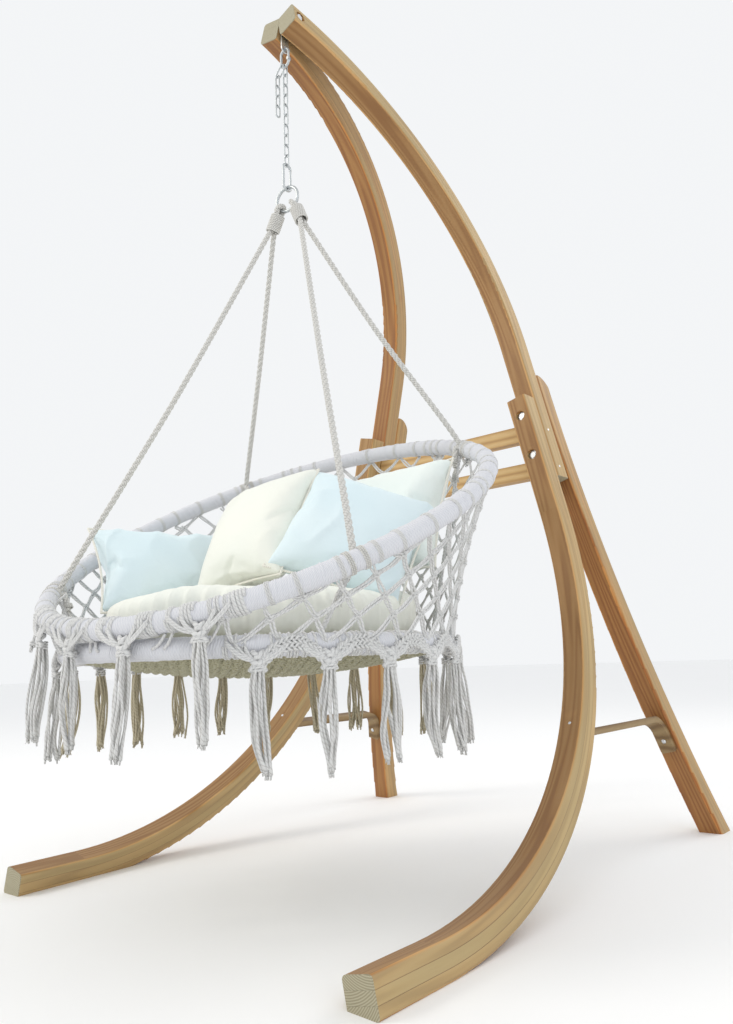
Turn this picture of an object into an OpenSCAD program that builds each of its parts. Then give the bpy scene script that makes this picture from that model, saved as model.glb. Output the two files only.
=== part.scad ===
// Hanging chair on a double-arc larch stand: two bent side frames, two cross rails,
// a chain with two snap hooks, a steel ring, four cotton ropes and a netted hoop seat.
// Millimetres, +Z up, -Y is the front (the side the feet and the chair point to), X is the width.

/* [Stand] */
// Distance from the middle to a side frame's outer face at floor level
half_base = 546; // [530:1:565]
// Inward lean of each side frame, degrees
side_lean = 13; // [12.8:0.1:13.2]
// How much the side frames open towards the back, degrees
side_toe = 2.1; // [1.9:0.1:2.3]
// Width of a laminated beam
beam_w = 56; // [50:1:58]
// Depth of a laminated beam
beam_d = 56; // [54:1:57]
// Rounding along a beam's edges
beam_round = 7; // [3:1:9]
// Inside radius of the lower bend
lower_radius = 780; // [760:1:800]
// Inside radius of the upper bend
upper_radius = 720; // [715:1:726]
// Height, along the lean, at which the upper bend starts
upper_start = 1334; // [1330:1:1340]
// Radius of the slight bend in the rear leg
leg_radius = 3026; // [2950:1:3100]
// Distance from the upright to the tip of the foot
foot_reach = 930; // [900:1:960]

/* [Hanging gear] */
// Distance of the hanging line in front of the uprights
hang_reach = 566; // [562:1:570]
// Wire thickness of a chain link
chain_wire = 4; // [3.6:0.1:4.2]
// Turn of the chair on its chain, degrees
chair_turn = 8; // [-12:1:12]
// Thickness of a hanging rope
rope_d = 13; // [10:1:14]

/* [Chair] */
// Radius of the upper hoop at the middle of its tube
hoop_r = 475; // [465:1:485]
// Forward tilt of the upper hoop, degrees
hoop_tilt = 29.2; // [28.6:0.1:29.6]
// Radius of the seat hoop at the middle of its tube
seat_r = 372; // [366:1:374]
// Height of the seat hoop above the floor
seat_z = 481; // [476:1:483]
// Steel tube thickness of both hoops
tube_d = 25; // [22:1:27]
// Thickness of a hoop with its cord wrapping
wrap_d = 36; // [34:1:37]
// Length of a tassel
tassel_len = 190; // [150:5:210]

/* [Hidden] */
row_y = 341.2;              // moves the whole stand so that its box is centred
gap = 0.3;
y1 = beam_d + gap;        // upper arc's front face in the side frame
y2 = 2 * beam_d + 2 * gap; // rear leg's front face in the side frame
low_c = lower_radius + beam_d;
arc_end = 85.6;
tilt_c = cos(hoop_tilt);
tilt_s = sin(hoop_tilt);
hoop_y = -79;
hoop_z = 748;
seat_y = -104;
eye_z = 1965;             // middle of the snap hook's wire where it hangs in the strap
wire = 7;                 // snap hook wire
link_pitch = 28;
link_rb = 6.2;            // middle radius of a link's end
link_a = (link_pitch + chain_wire + 0.2) / 2 - link_rb;
link_n = 10;
top_a = 12;
top_rb = 13;
link0_z = eye_z - 2 * (top_a + top_rb) + (chain_wire + wire) / 2 + 0.2 - link_a - link_rb;
linkn_z = link0_z - (link_n - 1) * link_pitch;
low_hook_top = linkn_z - link_a - link_rb + (chain_wire + wire) / 2 + 0.2;
hook_rb = 11.5;           // middle radius of a snap hook's end
hook_a = 23;              // half the straight side of the lower snap hook
ring_r = 31;              // middle radius of the ring
ring_wire = 8;
low_hook_c = low_hook_top - hook_a - hook_rb;
ring_z = low_hook_c - hook_a - hook_rb + (wire + ring_wire) / 2 + 0.2 - ring_r;
front_t = 53;             // where the front ropes meet the upper hoop, from the front
back_t = 136.6;           // where the back ropes meet it
net_n = 44;
row_h = 84;
tassel_n = 22;
eps = 0.01;

$fn = 48;

wood = [0.80, 0.56, 0.30];
zinc = [0.72, 0.73, 0.74];
cotton = [0.90, 0.89, 0.86];
cloth = [0.93, 0.95, 0.95];

// ---------- helpers ----------
module place() { translate([0, row_y, 0]) children(); }

module side(s) {
  place() mirror([s < 0 ? 1 : 0, 0, 0]) translate([half_base, 0, 0])
    rotate([0, 0, -side_toe]) rotate([0, -side_lean, 0]) children();
}

// the same for a beam that is alike on both sides, turned into place and not mirrored
module beam_side(s) {
  place() translate([s * half_base, 0, 0]) rotate([0, 0, -s * side_toe]) rotate([0, -s * side_lean, 0])
    translate([s < 0 ? beam_w : 0, 0, 0]) children();
}

// a point of a side frame, given across, along and up its own plane, in the part's frame
function side_pt(x, y, s) = let (c = cos(side_lean), n = sin(side_lean),
    a = x * c - s * n, z = x * n + s * c)
  [half_base + a * cos(side_toe) + y * sin(side_toe), row_y - a * sin(side_toe) + y * cos(side_toe), z];

module ground_cut() {
  intersection() {
    children();
    translate([-800, -1200, 0]) cube([1600, 2400, 2400]);
  }
}

module beam_section() {
  r = beam_round;
  translate([0, -beam_w / 2 + r]) square([beam_d, beam_w - 2 * r]);
  translate([r, -beam_w / 2]) square([beam_d - 2 * r, beam_w]);
  for (x = [r, beam_d - r], y = [-beam_w / 2 + r, beam_w / 2 - r]) translate([x, y]) circle(r);
}

// straight length of beam from height a to height b, front face at y
module beam_up(y, a, b) {
  translate([-beam_w / 2, y, a]) linear_extrude(b - a) beam_flat();
}
module beam_flat() {
  r = beam_round;
  translate([-beam_w / 2 + r, 0]) square([beam_w - 2 * r, beam_d]);
  translate([-beam_w / 2, r]) square([beam_w, beam_d - 2 * r]);
  for (x = [-beam_w / 2 + r, beam_w / 2 - r], y = [r, beam_d - r]) translate([x, y]) circle(r);
}

// bent length of beam: inside radius r, from angle a to b measured from +Y towards +Z
module beam_bend(r, a, b) {
  translate([-beam_w / 2, 0, 0]) rotate([90, 0, 90]) rotate([0, 0, a])
    rotate_extrude(angle = b - a, $fn = 180) translate([r, 0]) beam_section();
}

bolt_s = [993, 1106];      // heights of the two joint bolts along the lean
brace_turn = -41.2;        // where the brace's screw enters the lower bend
module joint_holes() {
  for (s = bolt_s) translate([-beam_w / 2, beam_d * 1.5, s]) rotate([90, 0, 0])
    cylinder(d = 10.2, h = 400, center = true);
}
module joint_recess_front() {
  for (s = bolt_s) translate([-beam_w / 2, -1, s]) rotate([-90, 0, 0]) cylinder(d = 26, h = 15);
}
module joint_recess_back() {
  for (s = bolt_s) translate([-beam_w / 2, y2 + beam_d + 30, s]) rotate([90, 0, 0]) cylinder(d = 26, h = 44);
}
module apex_hole() {
  place() translate([0, -hang_reach, 2024]) rotate([0, 90, 0]) cylinder(d = 10.2, h = 300, center = true);
}
module apex_recess() {
  place() for (m = [0, 1]) mirror([m, 0, 0]) translate([46, -hang_reach, 2024])
    rotate([0, 90, 0]) cylinder(d = 26, h = 60);
}

// ---------- stand ----------
module lower_arc(s) {
  color(wood) ground_cut() difference() {
    side(s) difference() {
      union() {
        beam_up(0, low_c, 1158);
        translate([0, -lower_radius, low_c]) beam_bend(lower_radius, -90, 0);
        translate([0, -lower_radius, 0]) rotate([90, 0, 0]) translate([-beam_w / 2, 0, 0])
          linear_extrude(foot_reach - lower_radius) beam_flat();
      }
      joint_holes();
      joint_recess_front();
      translate([-beam_w / 2, -lower_radius, low_c]) rotate([brace_turn - 90, 0, 0])
        cylinder(d = 5, h = low_c + 50);
    }
  }
}
module lower_arc_right() { lower_arc(1); }
module lower_arc_left() { lower_arc(-1); }

module upper_arc(s) {
  color(wood) difference() {
    side(s) difference() {
      union() {
        beam_up(y1, 930, upper_start);
        translate([0, y1 - upper_radius, upper_start]) beam_bend(upper_radius, 0, arc_end);
      }
      joint_holes();
    }
    // the two arcs meet on the middle plane, so each one's inner edge is trimmed there
    translate([s > 0 ? -200 + gap : -gap, -1000 + row_y, 1500]) cube([200, 2000, 800]);
    apex_hole();
    apex_recess();
    // slot the hanger strap passes through
    place() translate([-1.9, -hang_reach - 12.4, 1940]) cube([3.8, 24.8, 100]);
  }
}
module upper_arc_right() { upper_arc(1); }
module upper_arc_left() { upper_arc(-1); }

leg_top = 1180;
module rear_leg(s) {
  color(wood) ground_cut() beam_side(s) difference() {
    union() {
      intersection() {
        beam_up(y2, leg_top, 1260);
        translate([-200, 0, 0]) rotate([90, 0, 90]) linear_extrude(300) {
          translate([y2 - 5, leg_top - 20]) square([beam_d + 10, 42]);
          translate([y2 + 4, leg_top + 15]) circle(r = beam_d - 4, $fn = 96);
        }
      }
      translate([-beam_w, y2 + beam_d + leg_radius, leg_top]) mirror([0, 0, 1]) mirror([0, 1, 0])
        translate([beam_w, 0, 0]) beam_bend(leg_radius, 0, 24);
    }
    joint_holes();
    joint_recess_back();
    translate([-beam_w / 2, 230, 240]) rotate([-72.3, 0, 0]) cylinder(d = 5, h = 60);
  }
}
module rear_leg_right() { rear_leg(1); }
module rear_leg_left() { rear_leg(-1); }

// bent strip from the lower arc's back, level, then turned down along the rear leg's front
brace_w = 34;
brace_t = 15;
brace_top = 303;
brace_in = 45;             // inside radius of its bend
brace_end = 17.4;          // lean of the leg where the strip lies on it
function leg_front(v) = y2 + (leg_radius + beam_d) * (1 - cos(asin((1180 - v) / (leg_radius + beam_d))));
module brace(s) {
  cy = leg_front(brace_top - brace_t - brace_in + 18) - (brace_in + brace_t) * cos(brace_end) - gap;
  cz = brace_top - brace_t - brace_in;
  n = 16;
  arc = [for (i = [0 : n]) brace_end + (90 - brace_end) * i / n];
  tail = 46 * [sin(brace_end), -cos(brace_end)];
  color(wood) side(s) translate([-beam_w / 2 - brace_w / 2, 0, 0]) rotate([90, 0, 90])
    linear_extrude(brace_w) difference() {
      polygon(concat([[-200, brace_top]],
        [for (i = [n : -1 : 0]) [cy, cz] + (brace_in + brace_t) * [cos(arc[i]), sin(arc[i])]],
        [[cy, cz] + (brace_in + brace_t) * [cos(brace_end), sin(brace_end)] + tail],
        [[cy, cz] + brace_in * [cos(brace_end), sin(brace_end)] + tail],
        [for (i = [0 : n]) [cy, cz] + brace_in * [cos(arc[i]), sin(arc[i])]],
        [[-200, brace_top - brace_t]]));
      translate([-lower_radius, low_c]) circle(low_c + gap, $fn = 180);
    }
}
module brace_right() { brace(1); }
module brace_left() { brace(-1); }

// horizontal rails let in between the side frames, behind the uprights
module rail(z, h) {
  t = 30;
  place() difference() {
    translate([-400, y1 + 8, z - h / 2]) cube([800, t, h]);
    for (m = [0, 1]) mirror([m, 0, 0]) translate([half_base, 0, 0]) rotate([0, 0, -side_toe])
      rotate([0, -side_lean, 0]) translate([-beam_w - gap, -500, -100]) cube([600, 1000, 2000]);
  }
}
module rail_upper() { color(wood) rail(1038, 44); }
module rail_lower() { color(wood) rail(933, 44); }

module each_side() { for (s = [1, -1]) side(s) children(); }

module joint_bolts() {
  color(zinc) each_side() for (s = bolt_s) translate([-beam_w / 2, 0, s]) {
    translate([0, 12.3, 0]) rotate([-90, 0, 0]) cylinder(d = 10, h = y2 + beam_d - 14.3);
    translate([0, 12.3, 0]) rotate([90, 0, 0]) cylinder(d = 20, h = 2.5);
    translate([0, 9.9, 0]) rotate([90, 0, 0]) cylinder(d = 14, h = 2.6);
  }
}
module joint_nuts() {
  color(zinc) each_side() for (s = bolt_s) translate([-beam_w / 2, y2 + beam_d - 11.7, s]) rotate([-90, 0, 0])
    difference() {
      cylinder(d = 19, h = 8, $fn = 6);
      translate([0, 0, -1]) cylinder(d = 10.05, h = 12);
    }
}
module joint_washers() {
  color(zinc) each_side() for (s = bolt_s) {
    translate([-beam_w / 2, 12.4, s]) rotate([-90, 0, 0]) washer(25, 10.2, 1.5);
    translate([-beam_w / 2, y2 + beam_d - 13.9, s]) rotate([-90, 0, 0]) washer(25, 10.2, 2);
  }
}
module washer(d, hole, t) {
  difference() {
    cylinder(d = d, h = t);
    translate([0, 0, -1]) cylinder(d = hole, h = t + 2);
  }
}

module screw(l, d, head) {
  cylinder(d = d, h = l);
  translate([0, 0, -2.5]) cylinder(d1 = head * 0.55, d2 = head, h = 2.5);
}
module brace_screws() {
  color(zinc) each_side() {
    translate([-beam_w / 2, -lower_radius, low_c]) rotate([brace_turn - 90, 0, 0])
      translate([0, 0, lower_radius + 2]) screw(78, 4.6, 11);
    translate([-beam_w / 2, leg_front(245) - 16 * cos(17.7), 245 - 16 * sin(17.7)]) rotate([-72.3, 0, 0])
      screw(50, 4.6, 11);
  }
}
module rail_screws() {
  color(zinc) each_side() for (z = [960, 1068]) translate([0.3, y1 + 23, z]) rotate([0, -90, 0])
    translate([0, 0, 2.5]) screw(90, 4.6, 11);
}

module apex_bolt() {
  color(zinc) place() translate([0, -hang_reach, 2024]) {
    rotate([0, 90, 0]) cylinder(d = 10, h = 108, center = true);
    translate([48.1, 0, 0]) rotate([0, 90, 0]) cylinder(d = 17, h = 6.5, $fn = 6);
  }
}
module apex_nut() {
  color(zinc) place() translate([-56.1, -hang_reach, 2024]) rotate([0, 90, 0]) difference() {
    cylinder(d = 19, h = 8, $fn = 6);
    translate([0, 0, -1]) cylinder(d = 10.05, h = 12);
  }
}
module apex_washers() {
  color(zinc) place() for (x = [46.1, -47.9]) translate([x, -hang_reach, 2024]) rotate([0, 90, 0])
    washer(25, 10.2, 1.8);
}

strap_hole = 5.2;
module hanger_strap() {
  color(zinc) place() translate([-1.6, -hang_reach, 0]) rotate([90, 0, 90]) linear_extrude(3.2) difference() {
    union() {
      translate([0, 2024]) circle(12);
      translate([-12, eye_z - wire / 2 + strap_hole - 0.1]) square([24, 2024 - eye_z + wire / 2 - strap_hole + 0.1]);
      translate([0, eye_z - wire / 2 + strap_hole - 0.1]) circle(12);
    }
    translate([0, 2024]) circle(5.1);
    translate([0, eye_z - wire / 2 + strap_hole - 0.1]) circle(strap_hole);
  }
}

// ---------- snap hooks and chain ----------
// oval of wire in the XZ plane, long way up, with a gap on its +X side for the gate
gate_r = 3;
module oval_wire(rb, a, w) {
  for (m = [0, 1]) mirror([0, 0, m]) translate([0, 0, a]) rotate([90, 0, 0])
    rotate_extrude(angle = 180, $fn = 64) translate([rb, 0]) circle(d = w);
  for (m = [0, 1]) mirror([m, 0, 0]) translate([rb, 0, -a]) cylinder(d = w, h = 2 * a);
}
module hook_body(rb, a) {
  // pivot of the gate is at the lower end of the gap
  difference() {
    oval_wire(rb, a, wire);
    translate([rb - 8, -8, -a + 1.6]) cube([16, 16, 2 * a - 1.9]);
  }
  for (y = [-4.5, 3.15]) translate([rb, y, -a + 5]) rotate([-90, 0, 0]) difference() {
    union() {
      cylinder(r = 3.4, h = 1.35);
      translate([-3.4, 0, 0]) cube([6.8, 5.5, 1.35]);
    }
    translate([0, 0, -1]) cylinder(r = 1, h = 4);
  }
}
module hook_pin(rb, a) {
  translate([rb, 0, -a + 5]) rotate([90, 0, 0]) cylinder(r = 1, h = 9.4, center = true);
}
module hook_gate(rb, a) {
  difference() {
    union() {
      translate([rb, 0, -a + 5]) sphere(r = gate_r);
      translate([rb, 0, -a + 5]) cylinder(r = gate_r, h = 2 * a - 5.8);
    }
    translate([rb, 0, -a + 5]) rotate([90, 0, 0]) cylinder(r = 1.06, h = 20, center = true);
  }
}
// upper snap hook hangs upright from the strap
module top_place() {
  place() translate([0, -hang_reach, eye_z - top_a - top_rb]) children();
}
module top_hook() { color(zinc) top_place() hook_body(top_rb, top_a); }
module top_hook_pin() { color(zinc) top_place() hook_pin(top_rb, top_a); }
module top_hook_gate() { color([0.66, 0.67, 0.69]) top_place() hook_gate(top_rb, top_a); }

module link() { oval_wire(link_rb, link_a, chain_wire); }
module links(a, b) {
  color(zinc) place() for (i = [a : b]) translate([0, -hang_reach, link0_z - i * link_pitch])
    rotate([0, 0, i % 2 == 0 ? 90 : 0]) link();
}
module chain_upper() { links(0, 2); }
module chain_middle() { links(3, 5); }
module chain_lower() { links(6, 9); }

// spare end of the chain: its first link leans out from the snap hook's bend, the rest hang from it
tail_turn = 45;
tail_in = top_rb - (chain_wire + wire) / 2 - 0.2;
tail_x = -(tail_in + 2 * (link_a + link_rb)) * sin(tail_turn);
tail_z = eye_z - top_rb - 2 * top_a - (tail_in + 2 * (link_a + link_rb)) * cos(tail_turn);
module tail_link() {
  color(zinc) top_place() translate([0, 0, -top_a]) rotate([0, tail_turn, 0])
    translate([0, 0, -tail_in - link_a - link_rb]) rotate([0, 0, 90]) link();
}
module chain_tail() {
  color(zinc) place() for (i = [0 : 3]) translate([tail_x, -hang_reach, tail_z + chain_wire + 0.6
      - link_a - link_rb - i * link_pitch])
    rotate([0, 0, i % 2 == 0 ? 0 : 90]) link();
}

module low_place() {
  place() translate([0, -hang_reach, low_hook_c]) rotate([0, 0, 90]) children();
}
module lower_hook() { color(zinc) low_place() hook_body(hook_rb, hook_a); }
module lower_hook_pin() { color(zinc) low_place() hook_pin(hook_rb, hook_a); }
module lower_hook_gate() { color([0.66, 0.67, 0.69]) low_place() hook_gate(hook_rb, hook_a); }

module ring() {
  color([0.6, 0.61, 0.62]) chair() translate([0, 0, ring_z]) rotate([90, 0, 0])
    rotate_extrude($fn = 96) translate([ring_r, 0]) circle(d = ring_wire);
}

// ---------- chair, in its own frame about the hanging line ----------
module chair() { place() translate([0, -hang_reach, 0]) rotate([0, 0, chair_turn]) children(); }

function hoop_pt(t) = [hoop_r * sin(t), hoop_y - hoop_r * cos(t) * tilt_c, hoop_z - hoop_r * cos(t) * tilt_s];
function seat_pt(t) = [seat_r * sin(t), seat_y - seat_r * cos(t), seat_z];
function unit(v) = v / norm(v);

module rod(p, q, r) {
  v = q - p;
  l = norm(v);
  translate(p) rotate([0, acos(v[2] / l), atan2(v[1], v[0])]) cylinder(r = r, h = l);
}
module on_hoop(t) { translate([0, hoop_y, hoop_z]) rotate([hoop_tilt, 0, 0]) rotate([0, 0, t]) children(); }
module on_seat(t) { translate([0, seat_y, seat_z]) rotate([0, 0, t]) children(); }

// turns of cord round a hoop's tube; n turns of thickness d side by side
module turns(r, n, d) {
  translate([0, -r, 0]) rotate([0, 90, 0])
    for (i = [0 : n - 1]) translate([0, 0, (i - (n - 1) / 2) * d * 0.98])
      rotate_extrude($fn = 48) translate([wrap_d / 2 + d / 2 + 0.4, 0]) circle(d = d);
}

// the rope doubled over the ring, and the whipping that holds the pair together
function bind_dir(s) = let (a = hoop_pt(s * front_t), b = hoop_pt(s * back_t))
  unit((a + b) / 2 - [s * 22, 0, ring_z - 22]);
function bind_a(s) = [s * 22, 0, ring_z - 22] + bind_dir(s) * (ring_wire / 2 + 1.5);
function bind_b(s) = bind_a(s) + bind_dir(s) * 52;
module hitch(s) {
  color(cotton) chair() {
    translate([s * 22, 0, ring_z - 22]) rotate([0, s * 45, 0]) rotate([0, 90, 0])
      rotate_extrude($fn = 48) translate([ring_wire / 2 + rope_d / 2 + 0.6, 0]) circle(d = rope_d);
    rod(bind_a(s), bind_b(s), rope_d + 0.5);
  }
}
module hitch_left() { hitch(-1); }
module hitch_right() { hitch(1); }

// one hanging rope: whipping to hoop, then three turns round the hoop
module rope(s, t) {
  p = bind_b(s) + [0, (t < 90 ? -1 : 1) * (rope_d / 2 + 0.2), 0];
  q = hoop_pt(s * t);
  v = unit(q - p);
  color(cotton) chair() {
    rod(p, q - v * (wrap_d / 2 + rope_d / 2 + 0.4), rope_d / 2);
    on_hoop(s * t) turns(hoop_r, 3, rope_d);
  }
}
module rope_front_left() { rope(-1, front_t); }
module rope_front_right() { rope(1, front_t); }
module rope_back_left() { rope(-1, back_t); }
module rope_back_right() { rope(1, back_t); }

module tube_section() {
  difference() {
    circle(d = tube_d);
    circle(d = tube_d - 3);
  }
}
module hoop_tube() {
  color(zinc) chair() on_hoop(0) rotate_extrude($fn = 180) translate([hoop_r, 0]) tube_section();
}
module hoop_wrap() {
  color(cotton) chair() on_hoop(0) rotate_extrude($fn = 180) translate([hoop_r, 0]) difference() {
    circle(d = wrap_d);
    circle(d = tube_d + 0.2);
  }
}
module seat_tube() {
  color(zinc) chair() on_seat(0) rotate_extrude($fn = 180) translate([seat_r, 0]) tube_section();
}
module seat_wrap() {
  color(cotton) chair() on_seat(0) rotate_extrude($fn = 180) translate([seat_r, 0]) difference() {
    circle(d = wrap_d);
    circle(d = tube_d + 0.2);
  }
}

// cords wound round the upper hoop along the front
module front_lashing() {
  color(cotton) chair() for (t = [-30 : 10 : 30]) on_hoop(t) turns(hoop_r, 2, 6);
}

module lower_ties() {
  color(cotton) chair() for (s = [-1, 1], t = [front_t, back_t]) {
    a = hoop_pt(s * t) - unit([sin(s * t), -cos(s * t), 0]) * 12;
    b = seat_pt(s * t) - unit([sin(s * t), -cos(s * t), 0]) * 12;
    v = unit(b - a);
    rod(a + v * 18, b - v * 18, 4.5);
  }
}

// ---------- net ----------
function out_dir(t) = [sin(t), -cos(t), 0];
function net_u(t) = unit(hoop_pt(t) - seat_pt(t));
function net_top(t) = hoop_pt(t) - net_u(t) * 15 + out_dir(t) * 9;
function net_bot(t) = seat_pt(t) + net_u(t) * 15 + out_dir(t) * 9;
function net_h(t) = norm(net_top(t) - net_bot(t));
// waisted between the hoops: the middle of a column is drawn in a little
function net_at(t, h, off) = let (H = net_h(t), f = min(h / H, 1), b = net_bot(t), e = net_top(t),
    o = unit(cross([cos(t), sin(t), 0], e - b)))
  b + (e - b) * f - out_dir(t) * 0.09 * H * f * (1 - f) * 4 * 0.35 + o * off;

cord_w = 6.5;              // width of a net strand
cord_t = 5;                // its thickness
function col_t(i) = i * 360 / net_n;
function cell_ok(i, j) = (i + j) % 2 == 0 && (j - 1) * row_h < net_h(col_t(i)) - 30 && net_h(col_t(i)) > row_h + 34;
net_cells = [for (i = [3 : net_n - 3], j = [1 : 7]) if (cell_ok(i, j)) [i, j]];
// corners of a cell: left, bottom, right, top as [column, row]
function corner(i, j, k) = k == 0 ? [i - 1, j] : k == 1 ? [i, j - 1] : k == 2 ? [i + 1, j] : [i, j + 1];
function corner_pt(c, off) = net_at(col_t(c[0]), c[1] * row_h, off);
function cell_mid(i, j, off) = (corner_pt(corner(i, j, 0), off) + corner_pt(corner(i, j, 1), off)
  + corner_pt(corner(i, j, 2), off) + corner_pt(corner(i, j, 3), off)) / 4;
function inner_pt(i, j, k, off) = let (m = cell_mid(i, j, off), p = corner_pt(corner(i, j, k), off), d = norm(p - m))
  p + (m - p) * min(0.45, cord_w * (k % 2 == 0 ? 0.95 : 0.85) / d);
net_side = cord_t / 2;
corner_list = [for (c = net_cells, k = [0 : 3]) corner(c[0], c[1], k)];
// distinct corners, numbered column by column
max_j = 8;
function used(i, j) = len([for (c = net_cells, k = [0 : 3]) if (corner(c[0], c[1], k) == [i, j]) 1]) > 0;
outer_keys = [for (i = [0 : net_n], j = [0 : max_j]) if ((i + j) % 2 == 1) if (used(i, j)) [i, j]];
function key_index(c) = search([c], outer_keys)[0];
n_out = len(outer_keys);
n_cell = len(net_cells);
function has_cell(i, j) = len([for (c = net_cells) if (c == [i, j]) 1]) > 0;
net_points = concat(
  [for (c = outer_keys) corner_pt(c, net_side)],
  [for (c = outer_keys) corner_pt(c, -net_side)],
  [for (c = net_cells, k = [0 : 3]) inner_pt(c[0], c[1], k, net_side)],
  [for (c = net_cells, k = [0 : 3]) inner_pt(c[0], c[1], k, -net_side)]);
function o_f(n, k) = key_index(corner(net_cells[n][0], net_cells[n][1], k));
function o_b(n, k) = n_out + o_f(n, k);
function i_f(n, k) = 2 * n_out + 4 * n + k;
function i_b(n, k) = 2 * n_out + 4 * n_cell + 4 * n + k;
// the neighbour across the edge from corner k to k+1
function neighbour(i, j, k) = k == 0 ? [i - 1, j - 1] : k == 1 ? [i + 1, j - 1] : k == 2 ? [i + 1, j + 1] : [i - 1, j + 1];
net_faces = concat(
  [for (n = [0 : n_cell - 1], k = [0 : 3], h = [0, 1]) let (l = (k + 1) % 4)
    h == 0 ? [o_f(n, l), o_f(n, k), i_f(n, k)] : [i_f(n, l), o_f(n, l), i_f(n, k)]],
  [for (n = [0 : n_cell - 1], k = [0 : 3], h = [0, 1]) let (l = (k + 1) % 4)
    h == 0 ? [o_b(n, k), o_b(n, l), i_b(n, k)] : [o_b(n, l), i_b(n, l), i_b(n, k)]],
  [for (n = [0 : n_cell - 1], k = [0 : 3], h = [0, 1]) let (l = (k + 1) % 4)
    h == 0 ? [i_f(n, l), i_f(n, k), i_b(n, k)] : [i_b(n, l), i_f(n, l), i_b(n, k)]],
  [for (n = [0 : n_cell - 1], k = [0 : 3], h = [0, 1])
    let (l = (k + 1) % 4, c = net_cells[n], q = neighbour(c[0], c[1], k))
    if (!has_cell(q[0], q[1]))
      h == 0 ? [o_f(n, k), o_f(n, l), o_b(n, k)] : [o_f(n, l), o_b(n, l), o_b(n, k)]]);
module side_net() {
  color(cotton) chair() polyhedron(points = net_points, faces = net_faces, convexity = 10);
}

// woven seat: a shallow dish hung inside the seat hoop
dish = 42;
module seat_net() {
  rr = seat_r - wrap_d / 2 - 0.3;
  big = (rr * rr + dish * dish) / (2 * dish);
  color(cotton) chair() translate([0, seat_y, seat_z - 6]) intersection() {
    translate([0, 0, big - dish]) difference() {
      sphere(r = big + 5, $fn = 200);
      sphere(r = big, $fn = 200);
    }
    translate([0, 0, -dish - 20]) cylinder(r = rr, h = dish + 20, $fn = 180);
  }
}

// cords that gather below the seat hoop into each tassel
function tassel_t(i) = (i + 0.35) * 360 / tassel_n;
// near the front the tassels hang from the upper hoop, elsewhere from the seat hoop
function at_front(t) = cos(t) > 0.86;
function tassel_base(t) = at_front(t)
  ? hoop_pt(t) + out_dir(t) * 13 - [0, 0, wrap_d / 2 + 27]
  : seat_pt(t) + out_dir(t) * 21 - [0, 0, wrap_d / 2 + 21];
module swag_band() {
  color(cotton) chair() for (i = [0 : tassel_n - 1]) {
    t = tassel_t(i);
    b = tassel_base(t);
    for (k = [-1, 1]) {
      w = 5.6;
      p = at_front(t) ? hoop_pt(t + k * w) + out_dir(t + k * w) * 22 - [0, 0, 4]
        : seat_pt(t + k * w) + out_dir(t + k * w) * 22.5 + [0, 0, 2];
      rod(b + [0, 0, 11], p, 3);
    }
    translate(b + [0, 0, 9]) cylinder(r = 9, h = 12, center = true);
  }
}
module tassels() {
  color(cotton) chair() for (i = [0 : tassel_n - 1]) translate(tassel_base(tassel_t(i)))
    rotate_extrude($fn = 32) polygon([[0, 3], [8, 3], [10, -14], [13, -60],
      [15, -tassel_len + 50], [17, -tassel_len], [0, -tassel_len]]);
}

// free end of a wrapping cord
loose_pts = [[-325, -335, 606], [-334, -347, 592], [-344, -360, 574], [-352, -372, 552], [-357, -380, 528],
  [-359, -384, 505]];
function ring_pts(p, d, r, n) = let (a = unit(cross(d, [0.3, 0.1, 1])), b = cross(d, a))
  [for (k = [0 : n - 1]) p + a * r * cos(k * 360 / n) + b * r * sin(k * 360 / n)];
function sweep_dir(p, i) = unit(p[min(i + 1, len(p) - 1)] - p[max(i - 1, 0)]);
module sweep_tube(p, r, n) {
  m = len(p);
  pts = [for (i = [0 : m - 1]) each ring_pts(p[i], sweep_dir(p, i), r, n)];
  faces = concat(
    [[for (k = [0 : n - 1]) k]],
    [[for (k = [n - 1 : -1 : 0]) (m - 1) * n + k]],
    [for (i = [0 : m - 2], k = [0 : n - 1], h = [0, 1]) let (l = (k + 1) % n)
      h == 0 ? [i * n + k, (i + 1) * n + k, i * n + l] : [i * n + l, (i + 1) * n + k, (i + 1) * n + l]]);
  polyhedron(points = pts, faces = faces, convexity = 4);
}
module loose_end() { color(cotton) chair() sweep_tube(loose_pts, 3, 8); }

// ---------- cushions ----------
module seat_cushion() {
  color(cloth) chair() translate([0, seat_y + 6, seat_z + 56]) rotate_extrude($fn = 128) union() {
    translate([0, -59]) square([264, 118]);
    translate([264, -10]) square([49, 20]);
    for (z = [-10, 10]) translate([264, z]) circle(49, $fn = 64);
  }
}
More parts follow.
